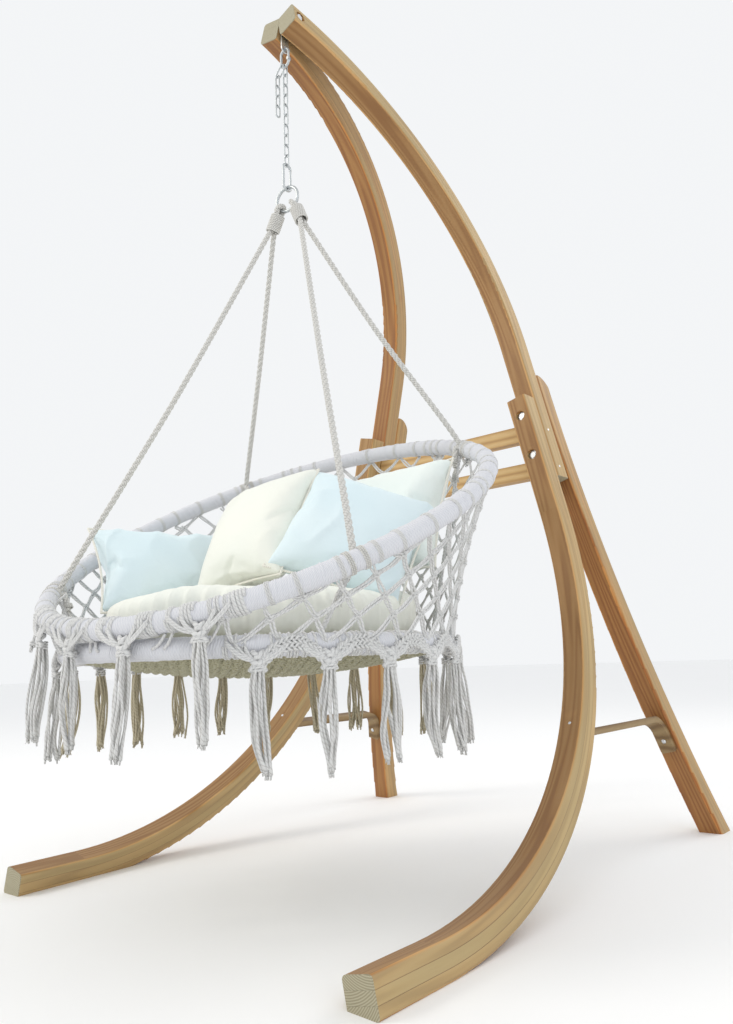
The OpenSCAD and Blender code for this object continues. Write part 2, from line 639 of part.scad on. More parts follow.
// puffy square cushion: w wide, h high, t thick
function puff(u, v) = pow((1 - pow(abs(u), 2.6)) * (1 - pow(abs(v), 2.6)), 0.42);
module pillow(w, h, t) {
  n = 20;
  g = [for (j = [0 : n], i = [0 : n]) let (u = sin(90 * (2 * i / n - 1)), v = sin(90 * (2 * j / n - 1)),
      pinch = 1 - 0.07 * pow(abs(v), 2) * (1 - pow(abs(u), 2)),
      pinch2 = 1 - 0.07 * pow(abs(u), 2) * (1 - pow(abs(v), 2)))
    [w / 2 * u * pinch2, h / 2 * v * pinch, t / 2 * puff(u, v) + 0.6]];
  b = [for (q = g) [q[0], q[1], -q[2]]];
  m = n + 1;
  s = m * m;
  top = [for (j = [0 : n - 1], i = [0 : n - 1], h = [0, 1]) h == 0
    ? [j * m + i, (j + 1) * m + i, j * m + i + 1]
    : [j * m + i + 1, (j + 1) * m + i, (j + 1) * m + i + 1]];
  bot = [for (f = top) [f[0] + s, f[2] + s, f[1] + s]];
  edge = concat([for (i = [0 : n - 1]) i], [for (j = [0 : n - 1]) j * m + n],
    [for (i = [n : -1 : 1]) n * m + i], [for (j = [n : -1 : 1]) j * m]);
  k = len(edge);
  wall = [for (i = [0 : k - 1], h = [0, 1]) let (l = (i + 1) % k) h == 0
    ? [edge[i], edge[l], edge[i] + s] : [edge[l], edge[l] + s, edge[i] + s]];
  polyhedron(points = concat(g, b), faces = concat(top, bot, wall), convexity = 4);
}
module pillow_at(p, turn, lean, roll, w, h, t) {
  color(cloth) chair() translate(p) rotate([0, 0, turn]) rotate([lean, 0, 0]) rotate([0, 0, roll]) pillow(w, h, t);
}
module pillow_left() { pillow_at([-290, -65, 668], 68, 60, 0, 390, 240, 110); }
module pillow_centre() { pillow_at([-30, -85, 722], -14, 60, 8, 285, 285, 120); }
module pillow_front() { pillow_at([190, -45, 700], 40, 60, -24, 290, 290, 120); }
module pillow_back() { pillow_at([165, 110, 750], -4, 62, 4, 330, 300, 110); }

lower_arc_right();
lower_arc_left();
upper_arc_right();
upper_arc_left();
rear_leg_right();
rear_leg_left();
brace_right();
brace_left();
rail_upper();
rail_lower();
joint_bolts();
joint_nuts();
joint_washers();
brace_screws();
rail_screws();
apex_bolt();
apex_nut();
apex_washers();
hanger_strap();
top_hook();
top_hook_pin();
top_hook_gate();
chain_upper();
chain_middle();
chain_lower();
tail_link();
chain_tail();
lower_hook();
lower_hook_pin();
lower_hook_gate();
ring();
hitch_left();
hitch_right();
rope_front_left();
rope_front_right();
rope_back_left();
rope_back_right();
hoop_tube();
hoop_wrap();
seat_tube();
seat_wrap();
front_lashing();
lower_ties();
side_net();
seat_net();
swag_band();
tassels();
loose_end();
seat_cushion();
pillow_left();
pillow_centre();
pillow_front();
pillow_back();
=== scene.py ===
"""Looks for a netted hoop chair on a larch stand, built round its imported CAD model. Metres."""
import math
import random

import bmesh
import bpy
import numpy as np
from mathutils import Matrix, Vector, noise


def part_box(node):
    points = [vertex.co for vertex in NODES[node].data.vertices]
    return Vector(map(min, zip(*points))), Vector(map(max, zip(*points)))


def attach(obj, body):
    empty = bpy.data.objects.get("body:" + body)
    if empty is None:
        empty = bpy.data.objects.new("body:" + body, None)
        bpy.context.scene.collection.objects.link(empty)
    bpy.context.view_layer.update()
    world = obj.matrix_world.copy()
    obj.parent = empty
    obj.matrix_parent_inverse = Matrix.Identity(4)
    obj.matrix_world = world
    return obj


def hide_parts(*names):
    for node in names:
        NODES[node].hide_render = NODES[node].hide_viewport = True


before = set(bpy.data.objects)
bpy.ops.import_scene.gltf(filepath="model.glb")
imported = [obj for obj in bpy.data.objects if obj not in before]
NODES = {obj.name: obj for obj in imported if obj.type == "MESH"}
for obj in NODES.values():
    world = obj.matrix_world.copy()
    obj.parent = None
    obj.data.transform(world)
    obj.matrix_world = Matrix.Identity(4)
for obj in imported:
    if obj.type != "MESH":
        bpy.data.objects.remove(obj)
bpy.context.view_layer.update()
rng = random.Random(7)

# ---------------------------------------------------------------- sizes, as in the CAD source
ROW_Y = 0.3412                      # front faces of the uprights
HANG_Y = ROW_Y - 0.566              # the hanging line
TURN = math.radians(8)              # the chair's turn on its chain
HOOP_R, HOOP_Y, HOOP_Z, TILT = 0.475, -0.079, 0.748, math.radians(29.2)
SEAT_R, SEAT_Y, SEAT_Z = 0.372, -0.104, 0.481
WRAP_R = 0.018                      # a hoop with its wrapping
ROPE_D = 0.013
FRONT_T, BACK_T = 53.0, 136.6       # where the ropes meet the upper hoop, degrees from the front
NET_N, ROW_H = 66, 0.036            # the net's columns all round, and the height of its rows
NET_ROWS = 16                       # more than reach the hoop anywhere
NET_FIRST, NET_LAST = 4, NET_N - 4  # the columns in between are the open front
TASSEL_N, TASSEL_LEN = 22, 0.190
TASSEL_CORDS, TASSEL_STEPS = 11, 26 # cords in a tassel, and points along each
RING_Z = sum(c.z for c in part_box("ring")) / 2
CORD_R = 0.0022                     # a macrame cord


def unit(v):
    v = np.asarray(v, float)
    return v / np.linalg.norm(v)


CHAIR = Matrix.Translation((0, HANG_Y, 0)) @ Matrix.Rotation(TURN, 4, "Z")


def hoop_pt(t):
    t = math.radians(t)
    return np.array([HOOP_R * math.sin(t), HOOP_Y - HOOP_R * math.cos(t) * math.cos(TILT),
                     HOOP_Z - HOOP_R * math.cos(t) * math.sin(TILT)])


def seat_pt(t):
    t = math.radians(t)
    return np.array([SEAT_R * math.sin(t), SEAT_Y - SEAT_R * math.cos(t), SEAT_Z])


def out_dir(t):
    t = math.radians(t)
    return np.array([math.sin(t), -math.cos(t), 0.0])


def along_dir(t):
    """Direction along the upper hoop's tube."""
    return unit(hoop_pt(t + 0.5) - hoop_pt(t - 0.5))


def seat_axis(t):
    """Direction along the seat hoop's tube."""
    return unit(seat_pt(t + 0.5) - seat_pt(t - 0.5))


# ---------------------------------------------------------------- camera
EYE = Vector((1.2144, -1.4165, 0.4531))
LOOK = Vector((-0.6314, 0.7525, 0.1874)).normalized()
ROLL = math.radians(-2.01)
cam_data = bpy.data.cameras.new("camera")
cam = bpy.data.objects.new("camera", cam_data)
bpy.context.scene.collection.objects.link(cam)
bpy.context.scene.camera = cam
cam_data.lens = 27.26
cam_data.sensor_width = 36
cam_data.clip_end = 100
level_right = LOOK.cross(Vector((0, 0, 1))).normalized()
level_up = level_right.cross(LOOK)
right = level_right * math.cos(ROLL) + level_up * math.sin(ROLL)
up = right.cross(LOOK)
cam.matrix_world = Matrix((right, up, -LOOK)).transposed().to_4x4()
cam.location = EYE


# ---------------------------------------------------------------- material helpers
class Shader:
    """A small wrapper that makes node materials short to write."""

    def __init__(self, name):
        self.mat = bpy.data.materials.new(name)
        self.mat.use_nodes = True
        self.tree = self.mat.node_tree
        self.bsdf = self.tree.nodes["Principled BSDF"]

    def node(self, kind, **settings):
        made = self.tree.nodes.new(kind)
        for key, value in settings.items():
            setattr(made, key, value)
        return made

    def put(self, socket, value):
        if isinstance(value, bpy.types.NodeSocket):
            self.tree.links.new(value, socket)
        else:
            socket.default_value = value

    def math(self, op, a, b=0.0, c=0.0):
        n = self.node("ShaderNodeMath", operation=op)
        for i, v in enumerate((a, b, c)):
            if i < len(n.inputs):
                self.put(n.inputs[i], v)
        return n.outputs[0]

    def vector(self, op, a, b):
        """Vector arithmetic; a dot product gives a number."""
        n = self.node("ShaderNodeVectorMath", operation=op)
        self.put(n.inputs[0], a)
        self.put(n.inputs[1], b)
        return n.outputs["Value" if op == "DOT_PRODUCT" else "Vector"]

    def mapped(self, vector, scale, shift=(0, 0, 0)):
        n = self.node("ShaderNodeMapping")
        self.put(n.inputs["Vector"], vector)
        n.inputs["Location"].default_value = shift
        n.inputs["Scale"].default_value = scale
        return n.outputs[0]

    def waves(self, vector, kind, axis, scale, distortion):
        """Bands across an axis, or rings round it."""
        n = self.node("ShaderNodeTexWave", wave_type=kind)
        setattr(n, kind.lower() + "_direction", axis)
        self.put(n.inputs["Vector"], vector)
        n.inputs["Scale"].default_value = scale
        n.inputs["Distortion"].default_value = distortion
        return n.outputs["Fac"]

    def join(self, x, y, z):
        n = self.node("ShaderNodeCombineXYZ")
        for i, v in enumerate((x, y, z)):
            self.put(n.inputs[i], v)
        return n.outputs[0]

    def noise(self, vector, scale, detail=3.0, rough=0.5):
        n = self.node("ShaderNodeTexNoise")
        self.put(n.inputs["Vector"], vector)
        n.inputs["Scale"].default_value = scale
        n.inputs["Detail"].default_value = detail
        n.inputs["Roughness"].default_value = rough
        return n.outputs["Fac"]

    def ramp(self, fac, stops):
        n = self.node("ShaderNodeValToRGB")
        self.put(n.inputs[0], fac)
        ramp = n.color_ramp
        while len(ramp.elements) < len(stops):
            ramp.elements.new(0.5)
        for element, (at, colour) in zip(ramp.elements, stops):
            element.position = at
            element.color = (*colour, 1) if not isinstance(colour, float) else (colour,) * 3 + (1,)
        return n.outputs["Color"]

    def mix(self, fac, a, b, blend="MIX"):
        n = self.node("ShaderNodeMix", data_type="RGBA", blend_type=blend)
        self.put(n.inputs[0], fac)
        for socket, v in ((n.inputs[6], a), (n.inputs[7], b)):
            self.put(socket, v if isinstance(v, bpy.types.NodeSocket) else (*v, 1))
        return n.outputs[2]

    def cell_value(self, cell):
        """The first channel of a cell's own random colour."""
        split = self.node("ShaderNodeSeparateColor")
        self.put(split.inputs[0], cell.outputs["Color"])
        return split.outputs[0]

    def position(self):
        return self.node("ShaderNodeTexCoord").outputs["Object"]

    def bump(self, height, strength, distance, under=None):
        n = self.node("ShaderNodeBump")
        n.inputs["Strength"].default_value = strength
        n.inputs["Distance"].default_value = distance
        self.put(n.inputs["Height"], height)
        if under is not None:
            self.put(n.inputs["Normal"], under)
        return n.outputs[0]

    def set(self, **values):
        for key, value in values.items():
            self.put(self.bsdf.inputs[key.replace("_", " ")], value)


def paint(name, material):
    """Gives a node of the CAD model a new material."""
    NODES[name].data.materials.clear()
    NODES[name].data.materials.append(material)


# ---------------------------------------------------------------- wood
LEAN, TOE, HALF_BASE = math.radians(13), math.radians(2.1), 0.546
FRAME_TURN = Matrix.Rotation(-TOE, 3, "Z") @ Matrix.Rotation(-LEAN, 3, "Y")
AXES = [tuple(FRAME_TURN.col[i]) for i in range(3)]
BEAM, LAMELLAE = 0.056, 3


def wood(name, side, centre, radius, above, front_in, ends, tones, seed):
    """Laminated larch whose grain follows a beam that is straight, bent about centre, then straight.

    centre is the bend's (along, up) in the side frame's plane; above says that the straight length is
    the upper one; front_in says that the beam's inner face looks at the bend's centre."""
    s = Shader(name)
    q = s.vector("SUBTRACT", s.vector("MULTIPLY", s.position(), (side, 1, 1)), (HALF_BASE, ROW_Y, 0))
    across, fore, height = (s.vector("DOT_PRODUCT", q, a) for a in AXES)
    cy, cz = centre
    dy = s.math("SUBTRACT", fore, cy) if front_in else s.math("SUBTRACT", cy, fore)
    dz = s.math("SUBTRACT", height, cz)
    if above:
        bend_z, rest = s.math("MINIMUM", dz, 0.0), s.math("MAXIMUM", dz, 0.0)
    else:
        bend_z, rest = s.math("MAXIMUM", dz, 0.0), s.math("MINIMUM", dz, 0.0)
    bend_y = s.math("MAXIMUM", dy, 0.0)
    flat = s.math("MAXIMUM", s.math("MULTIPLY", dy, -1.0), 0.0)
    reach = s.math("SQRT", s.math("ADD", s.math("POWER", bend_y, 2.0),
                                  s.math("POWER", s.math("ABSOLUTE", bend_z), 2.0)))
    depth = s.math("SUBTRACT", reach, radius)
    angle = s.math("ARCTAN2", s.math("ABSOLUTE", bend_z), bend_y)
    along = s.math("ADD", s.math("MULTIPLY", angle, radius + BEAM / 2),
                   s.math("SUBTRACT", flat, s.math("ABSOLUTE", rest)))
    layer_at = s.math("DIVIDE", depth, BEAM / LAMELLAE)
    layer = s.math("FLOOR", layer_at)
    # every lamella is its own board: shift its grain along and across
    shifted = s.join(s.math("ADD", along, s.math("MULTIPLY", layer, 1.7)),
                     s.math("ADD", across, s.math("MULTIPLY", layer, 0.31)), depth)
    grain = s.mapped(shifted, (1.6, 34, 34), (seed * 3.1, seed * 0.7, 0))
    warp = s.join(0.0, s.math("MULTIPLY", s.noise(grain, 0.55, 2, 0.4), 5.0), 0.0)
    band = s.waves(s.vector("ADD", grain, warp), "BANDS", "Y", 0.55, 1.6)
    fine = s.noise(s.mapped(shifted, (14, 620, 620)), 1.0, 3, 0.6)
    broad = s.noise(s.mapped(shifted, (2.2, 8, 8)), 1.0, 2, 0.5)
    light, mid, dark = tones
    colour = s.ramp(band, [(0.0, light), (0.55, mid), (1.0, dark)])
    colour = s.mix(s.math("MULTIPLY", fine, 0.34), colour, [c * 0.55 for c in dark])
    shade = s.node("ShaderNodeTexWhiteNoise", noise_dimensions="1D")
    s.put(shade.inputs["W"], s.math("ADD", layer, seed))
    colour = s.mix(s.math("MULTIPLY", shade.outputs["Value"], 0.4), colour, mid, "MULTIPLY")
    colour = s.mix(s.ramp(broad, [(0.35, 0.0), (0.75, 0.45)]), colour, [c * 0.62 for c in mid])
    # faces that look to either side are mixed towards a darker grey-green; those to the front and below keep
    # the warm tone
    normal = s.node("ShaderNodeNewGeometry").outputs["Normal"]
    outer = s.math("ABSOLUTE", s.vector("DOT_PRODUCT", s.vector("MULTIPLY", normal, (side, 1, 1)), AXES[0]))
    grey = s.math("MULTIPLY", s.ramp(outer, [(0.55, 0.0), (0.9, 1.0)]),
                  s.math("MULTIPLY_ADD", broad, 0.5, 0.35))
    colour = s.mix(grey, colour, (0.40, 0.33, 0.17))
    # knots, sparse, each with a dark core and a reddish halo
    knot_at = s.join(along, across, s.math("MULTIPLY", layer, 0.9))
    cell = s.node("ShaderNodeTexVoronoi", feature="F1")
    s.put(cell.inputs["Vector"], s.mapped(knot_at, (3.4, 9, 1.0), (seed * 1.37, seed * 0.11, seed)))
    cell.inputs["Scale"].default_value = 1.0
    near = cell.outputs["Distance"]
    chosen = s.math("GREATER_THAN", s.cell_value(cell), 0.62)
    halo = s.math("MULTIPLY", s.ramp(near, [(0.03, 1.0), (0.085, 0.0)]), chosen)
    core = s.math("MULTIPLY", s.ramp(near, [(0.02, 1.0), (0.034, 0.0)]), chosen)
    colour = s.mix(s.math("MULTIPLY", halo, 0.7), colour, (0.33, 0.13, 0.045))
    colour = s.mix(s.math("MULTIPLY", core, 0.85), colour, (0.10, 0.045, 0.02))
    # glue lines between the lamellae
    seam = s.math("ABSOLUTE", s.math("SUBTRACT", s.math("FRACT", layer_at), 0.5))
    line = s.ramp(seam, [(0.462, 0.0), (0.492, 1.0)])
    colour = s.mix(s.math("MULTIPLY", line, 0.55), colour, (0.16, 0.085, 0.035))
    # end grain on the sawn ends
    low, high = ends
    end = s.math("MAXIMUM", s.math("GREATER_THAN", along, high), s.math("LESS_THAN", along, low))
    end_at = s.join(0.0, s.math("ADD", across, s.math("MULTIPLY", layer, 0.05)), s.math("ADD", depth, 0.05))
    end_tone = s.mix(s.waves(end_at, "RINGS", "X", 95, 1.2), (0.44, 0.40, 0.28), (0.27, 0.24, 0.15))
    colour = s.mix(end, colour, end_tone)
    s.set(Base_Color=colour, Specular_IOR_Level=0.42)
    s.put(s.bsdf.inputs["Roughness"], s.math("MULTIPLY_ADD", fine, 0.25, 0.42))
    first = s.bump(s.math("SUBTRACT", s.math("MULTIPLY", fine, 0.5), line), 0.55, 0.0009)
    s.put(s.bsdf.inputs["Normal"], s.bump(band, 0.25, 0.0006, first))
    return s.mat


GOLD = ((0.80, 0.51, 0.22), (0.69, 0.40, 0.145), (0.47, 0.235, 0.075))
AMBER = ((0.76, 0.38, 0.11), (0.63, 0.27, 0.068), (0.42, 0.15, 0.035))
Y1, Y2 = 0.0563, 0.1126             # front faces of the upper arc and of the rear leg
LOWER_R, UPPER_R, LEG_R = 0.780, 0.720, 3.026        # the bends' radii
LOWER_UP, UPPER_UP, LEG_UP = 0.836, 1.334, 1.180     # heights of their centres, along the leaning frame
NO_END = 9.0                        # beyond any beam: that end shows no end grain
SAW_BACK = 0.002                    # end grain starts this far before a beam's end
foot_end = (LOWER_R + BEAM / 2) * math.pi / 2 + 0.15
tip_end = (UPPER_R + BEAM / 2) * math.radians(85.6)
for side, label in ((1, "right"), (-1, "left")):
    woods = {
        "lower_arc_" + label: wood("larch_lower_" + label, side, (-LOWER_R, LOWER_UP), LOWER_R, True, True,
                                   (-NO_END, foot_end - SAW_BACK), GOLD, 2 + side),
        "upper_arc_" + label: wood("larch_upper_" + label, side, (Y1 - UPPER_R, UPPER_UP), UPPER_R, False, True,
                                   (-0.4035, tip_end - SAW_BACK), GOLD if side > 0 else AMBER, 6 + side),
        "rear_leg_" + label: wood("larch_leg_" + label, side, (Y2 + BEAM + LEG_R, LEG_UP), LEG_R, True, False,
                                  (-NO_END, NO_END), AMBER, 11 + side),
    }
    for name, material in woods.items():
        paint(name, material)


def plank(name, scale, tones, seed):
    """Straight or thin boards: grain along one axis of the row frame."""
    s = Shader(name)
    grain = s.mapped(s.position(), scale, (seed, seed * 2.3, seed * 0.4))
    fine = s.noise(grain, 14, 3, 0.6)
    light, mid, dark = tones
    colour = s.ramp(s.waves(grain, "BANDS", "Z", 0.5, 3.5), [(0.0, light), (0.6, mid), (1.0, dark)])
    colour = s.mix(s.math("MULTIPLY", fine, 0.45), colour, [c * 0.6 for c in dark])
    s.set(Base_Color=colour, Specular_IOR_Level=0.42)
    s.put(s.bsdf.inputs["Roughness"], s.math("MULTIPLY_ADD", fine, 0.25, 0.45))
    s.put(s.bsdf.inputs["Normal"], s.bump(fine, 0.4, 0.0006))
    return s.mat


RAIL = plank("larch_rail", (2.0, 30, 30), ((0.74, 0.52, 0.25), (0.66, 0.43, 0.18), (0.50, 0.30, 0.12)), 3)
STRIP = plank("larch_strip", (30, 2.5, 22), ((0.36, 0.25, 0.12), (0.29, 0.19, 0.085), (0.19, 0.115, 0.05)), 5)
for name in ("rail_upper", "rail_lower"):
    paint(name, RAIL)
for name in ("brace_right", "brace_left"):
    paint(name, STRIP)


# ---------------------------------------------------------------- metal
def zinc(name, tone, rough):
    s = Shader(name)
    p = s.position()
    mottle = s.noise(p, 420, 4, 0.6)
    scratch = s.noise(s.mapped(p, (300, 2400, 300)), 1.0, 2, 0.5)
    colour = s.mix(s.ramp(mottle, [(0.35, 0.0), (0.7, 1.0)]), tone, [c * 0.72 for c in tone])
    s.set(Base_Color=colour, Metallic=1.0)
    s.put(s.bsdf.inputs["Roughness"], s.math("MULTIPLY_ADD", mottle, 0.3, rough))
    s.put(s.bsdf.inputs["Normal"], s.bump(s.math("ADD", mottle, scratch), 0.12, 0.0002))
    return s.mat


BRIGHT = zinc("zinc_bright", (0.78, 0.80, 0.82), 0.22)
CHAIN = zinc("zinc_chain", (0.62, 0.65, 0.66), 0.3)
metal_nodes = {
    BRIGHT: ["joint_bolts", "joint_nuts", "joint_washers", "brace_screws", "rail_screws", "apex_bolt",
             "apex_nut", "apex_washers"],
    CHAIN: ["hanger_strap", "top_hook", "top_hook_pin", "top_hook_gate", "chain_upper", "chain_middle",
            "chain_lower", "tail_link", "chain_tail", "lower_hook", "lower_hook_pin", "lower_hook_gate", "ring",
            "hoop_tube", "seat_tube"],
}
for material, names in metal_nodes.items():
    for name in names:
        paint(name, material)


# ---------------------------------------------------------------- cotton
def cotton(name, tone, shade, pitch, lays, depth):
    """Twisted cotton cord: u runs along the cord in metres and v once round it."""
    s = Shader(name)
    uv = s.node("ShaderNodeUVMap", uv_map="cord").outputs[0]
    split = s.node("ShaderNodeSeparateXYZ")
    s.put(split.inputs[0], uv)
    phase = s.math("ADD", s.math("DIVIDE", split.outputs[0], pitch),
                   s.math("MULTIPLY", split.outputs[1], lays))
    strand = s.math("ABSOLUTE", s.math("SINE", s.math("MULTIPLY", phase, math.pi)))
    p = s.position()
    along = s.math("MULTIPLY", split.outputs[0], 60.0)
    fibre = s.noise(s.join(s.math("MULTIPLY", phase, 9.0), along, 0.0), 1.0, 3)
    stain = s.noise(p, 9, 3)
    # painted shade: the grooves between the strands are mixed towards the darker shade colour; the fibre noise
    # below mixes in the same colour as a real tone
    colour = s.mix(s.ramp(strand, [(0.05, 1.0), (0.5, 0.0)]), tone, shade)
    colour = s.mix(s.math("MULTIPLY", fibre, 0.3), colour, shade)
    colour = s.mix(s.ramp(stain, [(0.45, 0.0), (0.8, 0.35)]), colour, [c * 0.8 for c in tone])
    s.set(Base_Color=colour, Roughness=0.88, Sheen_Weight=0.25, Sheen_Roughness=0.5,
          Specular_IOR_Level=0.2)
    s.put(s.bsdf.inputs["Normal"], s.bump(s.math("MULTIPLY_ADD", fibre, 0.35, strand), 0.8, depth))
    return s.mat


# each cord's second colour is its painted shade, used in the grooves of its twist; the wrap's is bluish
ROPE = cotton("cotton_rope", (0.70, 0.69, 0.66), (0.40, 0.39, 0.36), 0.0045, 1.0, 0.0004)
CORD = cotton("cotton_cord", (0.72, 0.72, 0.71), (0.50, 0.50, 0.50), 0.0075, 2.0, 0.0003)
WRAP = cotton("cotton_wrap", (0.74, 0.745, 0.77), (0.55, 0.56, 0.62), 0.0024, 14.0, 0.0002)
FRINGE = cotton("cotton_fringe", (0.71, 0.71, 0.70), (0.47, 0.465, 0.44), 0.0085, 2.0, 0.0003)
# painted shade: the tan copy of the fringe cotton for the tassels behind and to the left, shade tinted by light
# reflected from the ground
FRINGE_PAINTED_SHADE = cotton("cotton_fringe_painted_shade", (0.56, 0.51, 0.38), (0.32, 0.27, 0.17), 0.0085, 2.0, 0.0003)
# painted shade: the seat's woven underside is white cotton coloured dark olive, the shade beneath the seat
# tinted by light reflected from the ground
WEAVE_PAINTED_SHADE = cotton("cotton_weave_painted_shade", (0.42, 0.40, 0.27), (0.21, 0.20, 0.12), 0.0075, 2.0, 0.0006)


def corded_mesh(name, verts, faces, uvs, material):
    """A smooth mesh whose uvs tell the cotton materials the way along and round the cord."""
    mesh = bpy.data.meshes.new(name)
    mesh.from_pydata(verts, [], faces)
    mesh.uv_layers.new(name="cord").data.foreach_set("uv", np.array(uvs, np.float32))
    mesh.materials.append(material)
    mesh.shade_smooth()
    return mesh


class Tubes:
    """Collects swept cords and lays them down as one mesh."""

    def __init__(self):
        self.points, self.faces, self.uvs = [], [], []
        self.count = 0

    def add(self, path, radius, sides=8, closed=False, start=0.0, ref=None):
        """Sweeps a round section along path; ref is the direction of the section's first corner."""
        path = np.asarray(path, float)
        n = len(path)
        if closed:
            tangent = np.roll(path, -1, 0) - np.roll(path, 1, 0)
        else:
            tangent = np.gradient(path, axis=0)
        tangent /= np.linalg.norm(tangent, axis=1)[:, None]
        normal = np.zeros_like(path)
        first = np.asarray(ref if ref is not None else (0.31, 0.17, 0.93), float)
        first = first - first @ tangent[0] * tangent[0]
        normal[0] = first / np.linalg.norm(first)
        for i in range(1, n):
            v = normal[i - 1] - normal[i - 1] @ tangent[i] * tangent[i]
            normal[i] = v / np.linalg.norm(v)
        if closed:
            # share out the turn left over, so that the ring meets itself
            v = normal[-1] - normal[-1] @ tangent[0] * tangent[0]
            b0 = np.cross(tangent[0], normal[0])
            left = math.atan2(v @ b0, v @ normal[0])
            turn = -left * np.arange(n) / n
            b = np.cross(tangent, normal)
            normal = normal * np.cos(turn)[:, None] + b * np.sin(turn)[:, None]
        across = np.cross(tangent, normal)
        radius = np.broadcast_to(np.asarray(radius, float), (n,))
        angle = np.arange(sides) * 2 * math.pi / sides
        ring = (normal[:, None, :] * np.cos(angle)[None, :, None]
                + across[:, None, :] * np.sin(angle)[None, :, None])
        verts = path[:, None, :] + ring * radius[:, None, None]
        self.points.append(verts.reshape(-1, 3))
        base = self.count
        step = np.linalg.norm(np.diff(path, axis=0), axis=1)
        run = start + np.concatenate([[0], np.cumsum(step)])
        rows = n if closed else n - 1
        for i in range(rows):
            j = (i + 1) % n
            u0 = run[i]
            u1 = run[i + 1] if i + 1 < n else run[i] + np.linalg.norm(path[0] - path[-1])
            for k in range(sides):
                m = (k + 1) % sides
                self.faces.append((base + i * sides + k, base + i * sides + m,
                                   base + j * sides + m, base + j * sides + k))
                v0, v1 = k / sides, (k + 1) / sides
                self.uvs += [u0, v0, u0, v1, u1, v1, u1, v0]
        if not closed:
            self.faces.append(tuple(base + k for k in reversed(range(sides))))
            self.faces.append(tuple(base + (n - 1) * sides + k for k in range(sides)))
            self.uvs += [run[0], 0.0] * sides + [run[-1], 0.0] * sides
        self.count += n * sides

    def build(self, name, material, replaces=(), slot="cotton_cord"):
        mesh = corded_mesh(name, np.concatenate(self.points).tolist(), self.faces, self.uvs, material)
        return place(name, mesh, replaces)


def place(name, mesh, replaces):
    """Puts a mesh made in the chair's own frame into the row frame, riding on the chair."""
    mesh.transform(CHAIR)
    mesh.update()
    made = bpy.data.objects.new(name, mesh)
    bpy.context.scene.collection.objects.link(made)
    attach(made, "chair")
    if replaces:
        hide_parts(*replaces)
    return made


def helix(centre, axis, radius, turns, pitch, first, steps=20):
    """Points of a coil round axis, first giving the direction in which it starts."""
    axis, first = unit(axis), np.asarray(first, float)
    first = unit(first - first @ axis * axis)
    side = np.cross(axis, first)
    n = int(turns * steps) + 1
    a = np.linspace(0, turns * 2 * math.pi, n)
    run = (a / (2 * math.pi) - turns / 2) * pitch
    return (centre + np.outer(np.cos(a), first) * radius + np.outer(np.sin(a), side) * radius
            + np.outer(run, axis))


def laid_rope(tubes, path, radius, pitch=0.046, strands=3, sides=9, start=0.0):
    """A rope of several strands laid round each other along a path."""
    path = np.asarray(path, float)
    step = np.linalg.norm(np.diff(path, axis=0), axis=1)
    run = np.concatenate([[0], np.cumsum(step)])
    n = max(int(run[-1] / 0.0035), 4)
    even = np.linspace(0, run[-1], n)
    fine = np.stack([np.interp(even, run, path[:, k]) for k in range(3)], 1)
    tangent = np.gradient(fine, axis=0)
    tangent /= np.linalg.norm(tangent, axis=1)[:, None]
    normal = np.zeros_like(fine)
    first = np.array([0.31, 0.83, 0.17])
    first -= first @ tangent[0] * tangent[0]
    normal[0] = unit(first)
    for i in range(1, n):
        normal[i] = unit(normal[i - 1] - normal[i - 1] @ tangent[i] * tangent[i])
    across = np.cross(tangent, normal)
    off = radius * 0.5
    for k in range(strands):
        a = 2 * math.pi * (even / pitch + k / strands) + start
        strand = fine + (normal * np.cos(a)[:, None] + across * np.sin(a)[:, None]) * off
        tubes.add(strand, radius * 0.52, sides)


# the loose cord end at the front left is the one free cord: its points are the CAD solid's
LOOSE = [[-325, -335, 606], [-334, -347, 592], [-344, -360, 574], [-352, -372, 552], [-357, -380, 528],
         [-359, -384, 505]]


def smooth_path(points, n):
    """An even curve through the points."""
    points = np.asarray(points, float)
    padded = np.vstack([2 * points[0] - points[1], points, 2 * points[-1] - points[-2]])
    out = []
    for i in range(1, len(padded) - 2):
        p0, p1, p2, p3 = padded[i - 1:i + 3]
        for t in np.linspace(0, 1, n, endpoint=False):
            out.append(0.5 * (2 * p1 + (p2 - p0) * t + (2 * p0 - 5 * p1 + 4 * p2 - p3) * t * t
                              + (3 * p1 - p0 - 3 * p2 + p3) * t ** 3))
    out.append(points[-1])
    return np.array(out)


loose_line = smooth_path(np.array(LOOSE) / 1000, 5)
loose = Tubes()
loose.add(loose_line, 0.003, 10)
loose_piece = loose.build("loose_cord", CORD, ["loose_end"])
knot = Tubes()
tip, down = loose_line[-1], unit(loose_line[-1] - loose_line[-3])
knot.add(helix(tip - down * 0.002, down, 0.0042, 2, 0.0052, (1, 0, 0)), 0.0026, 8)
for k in range(7):
    lean = unit(down + np.array([rng.uniform(-.5, .5), rng.uniform(-.5, .5), 0]))
    knot.add([tip, tip + lean * 0.007, tip + lean * 0.007 + down * 0.008], [0.0014, 0.0013, 0.0006], 5)
knot_piece = knot.build("loose_cord_knot", CORD)


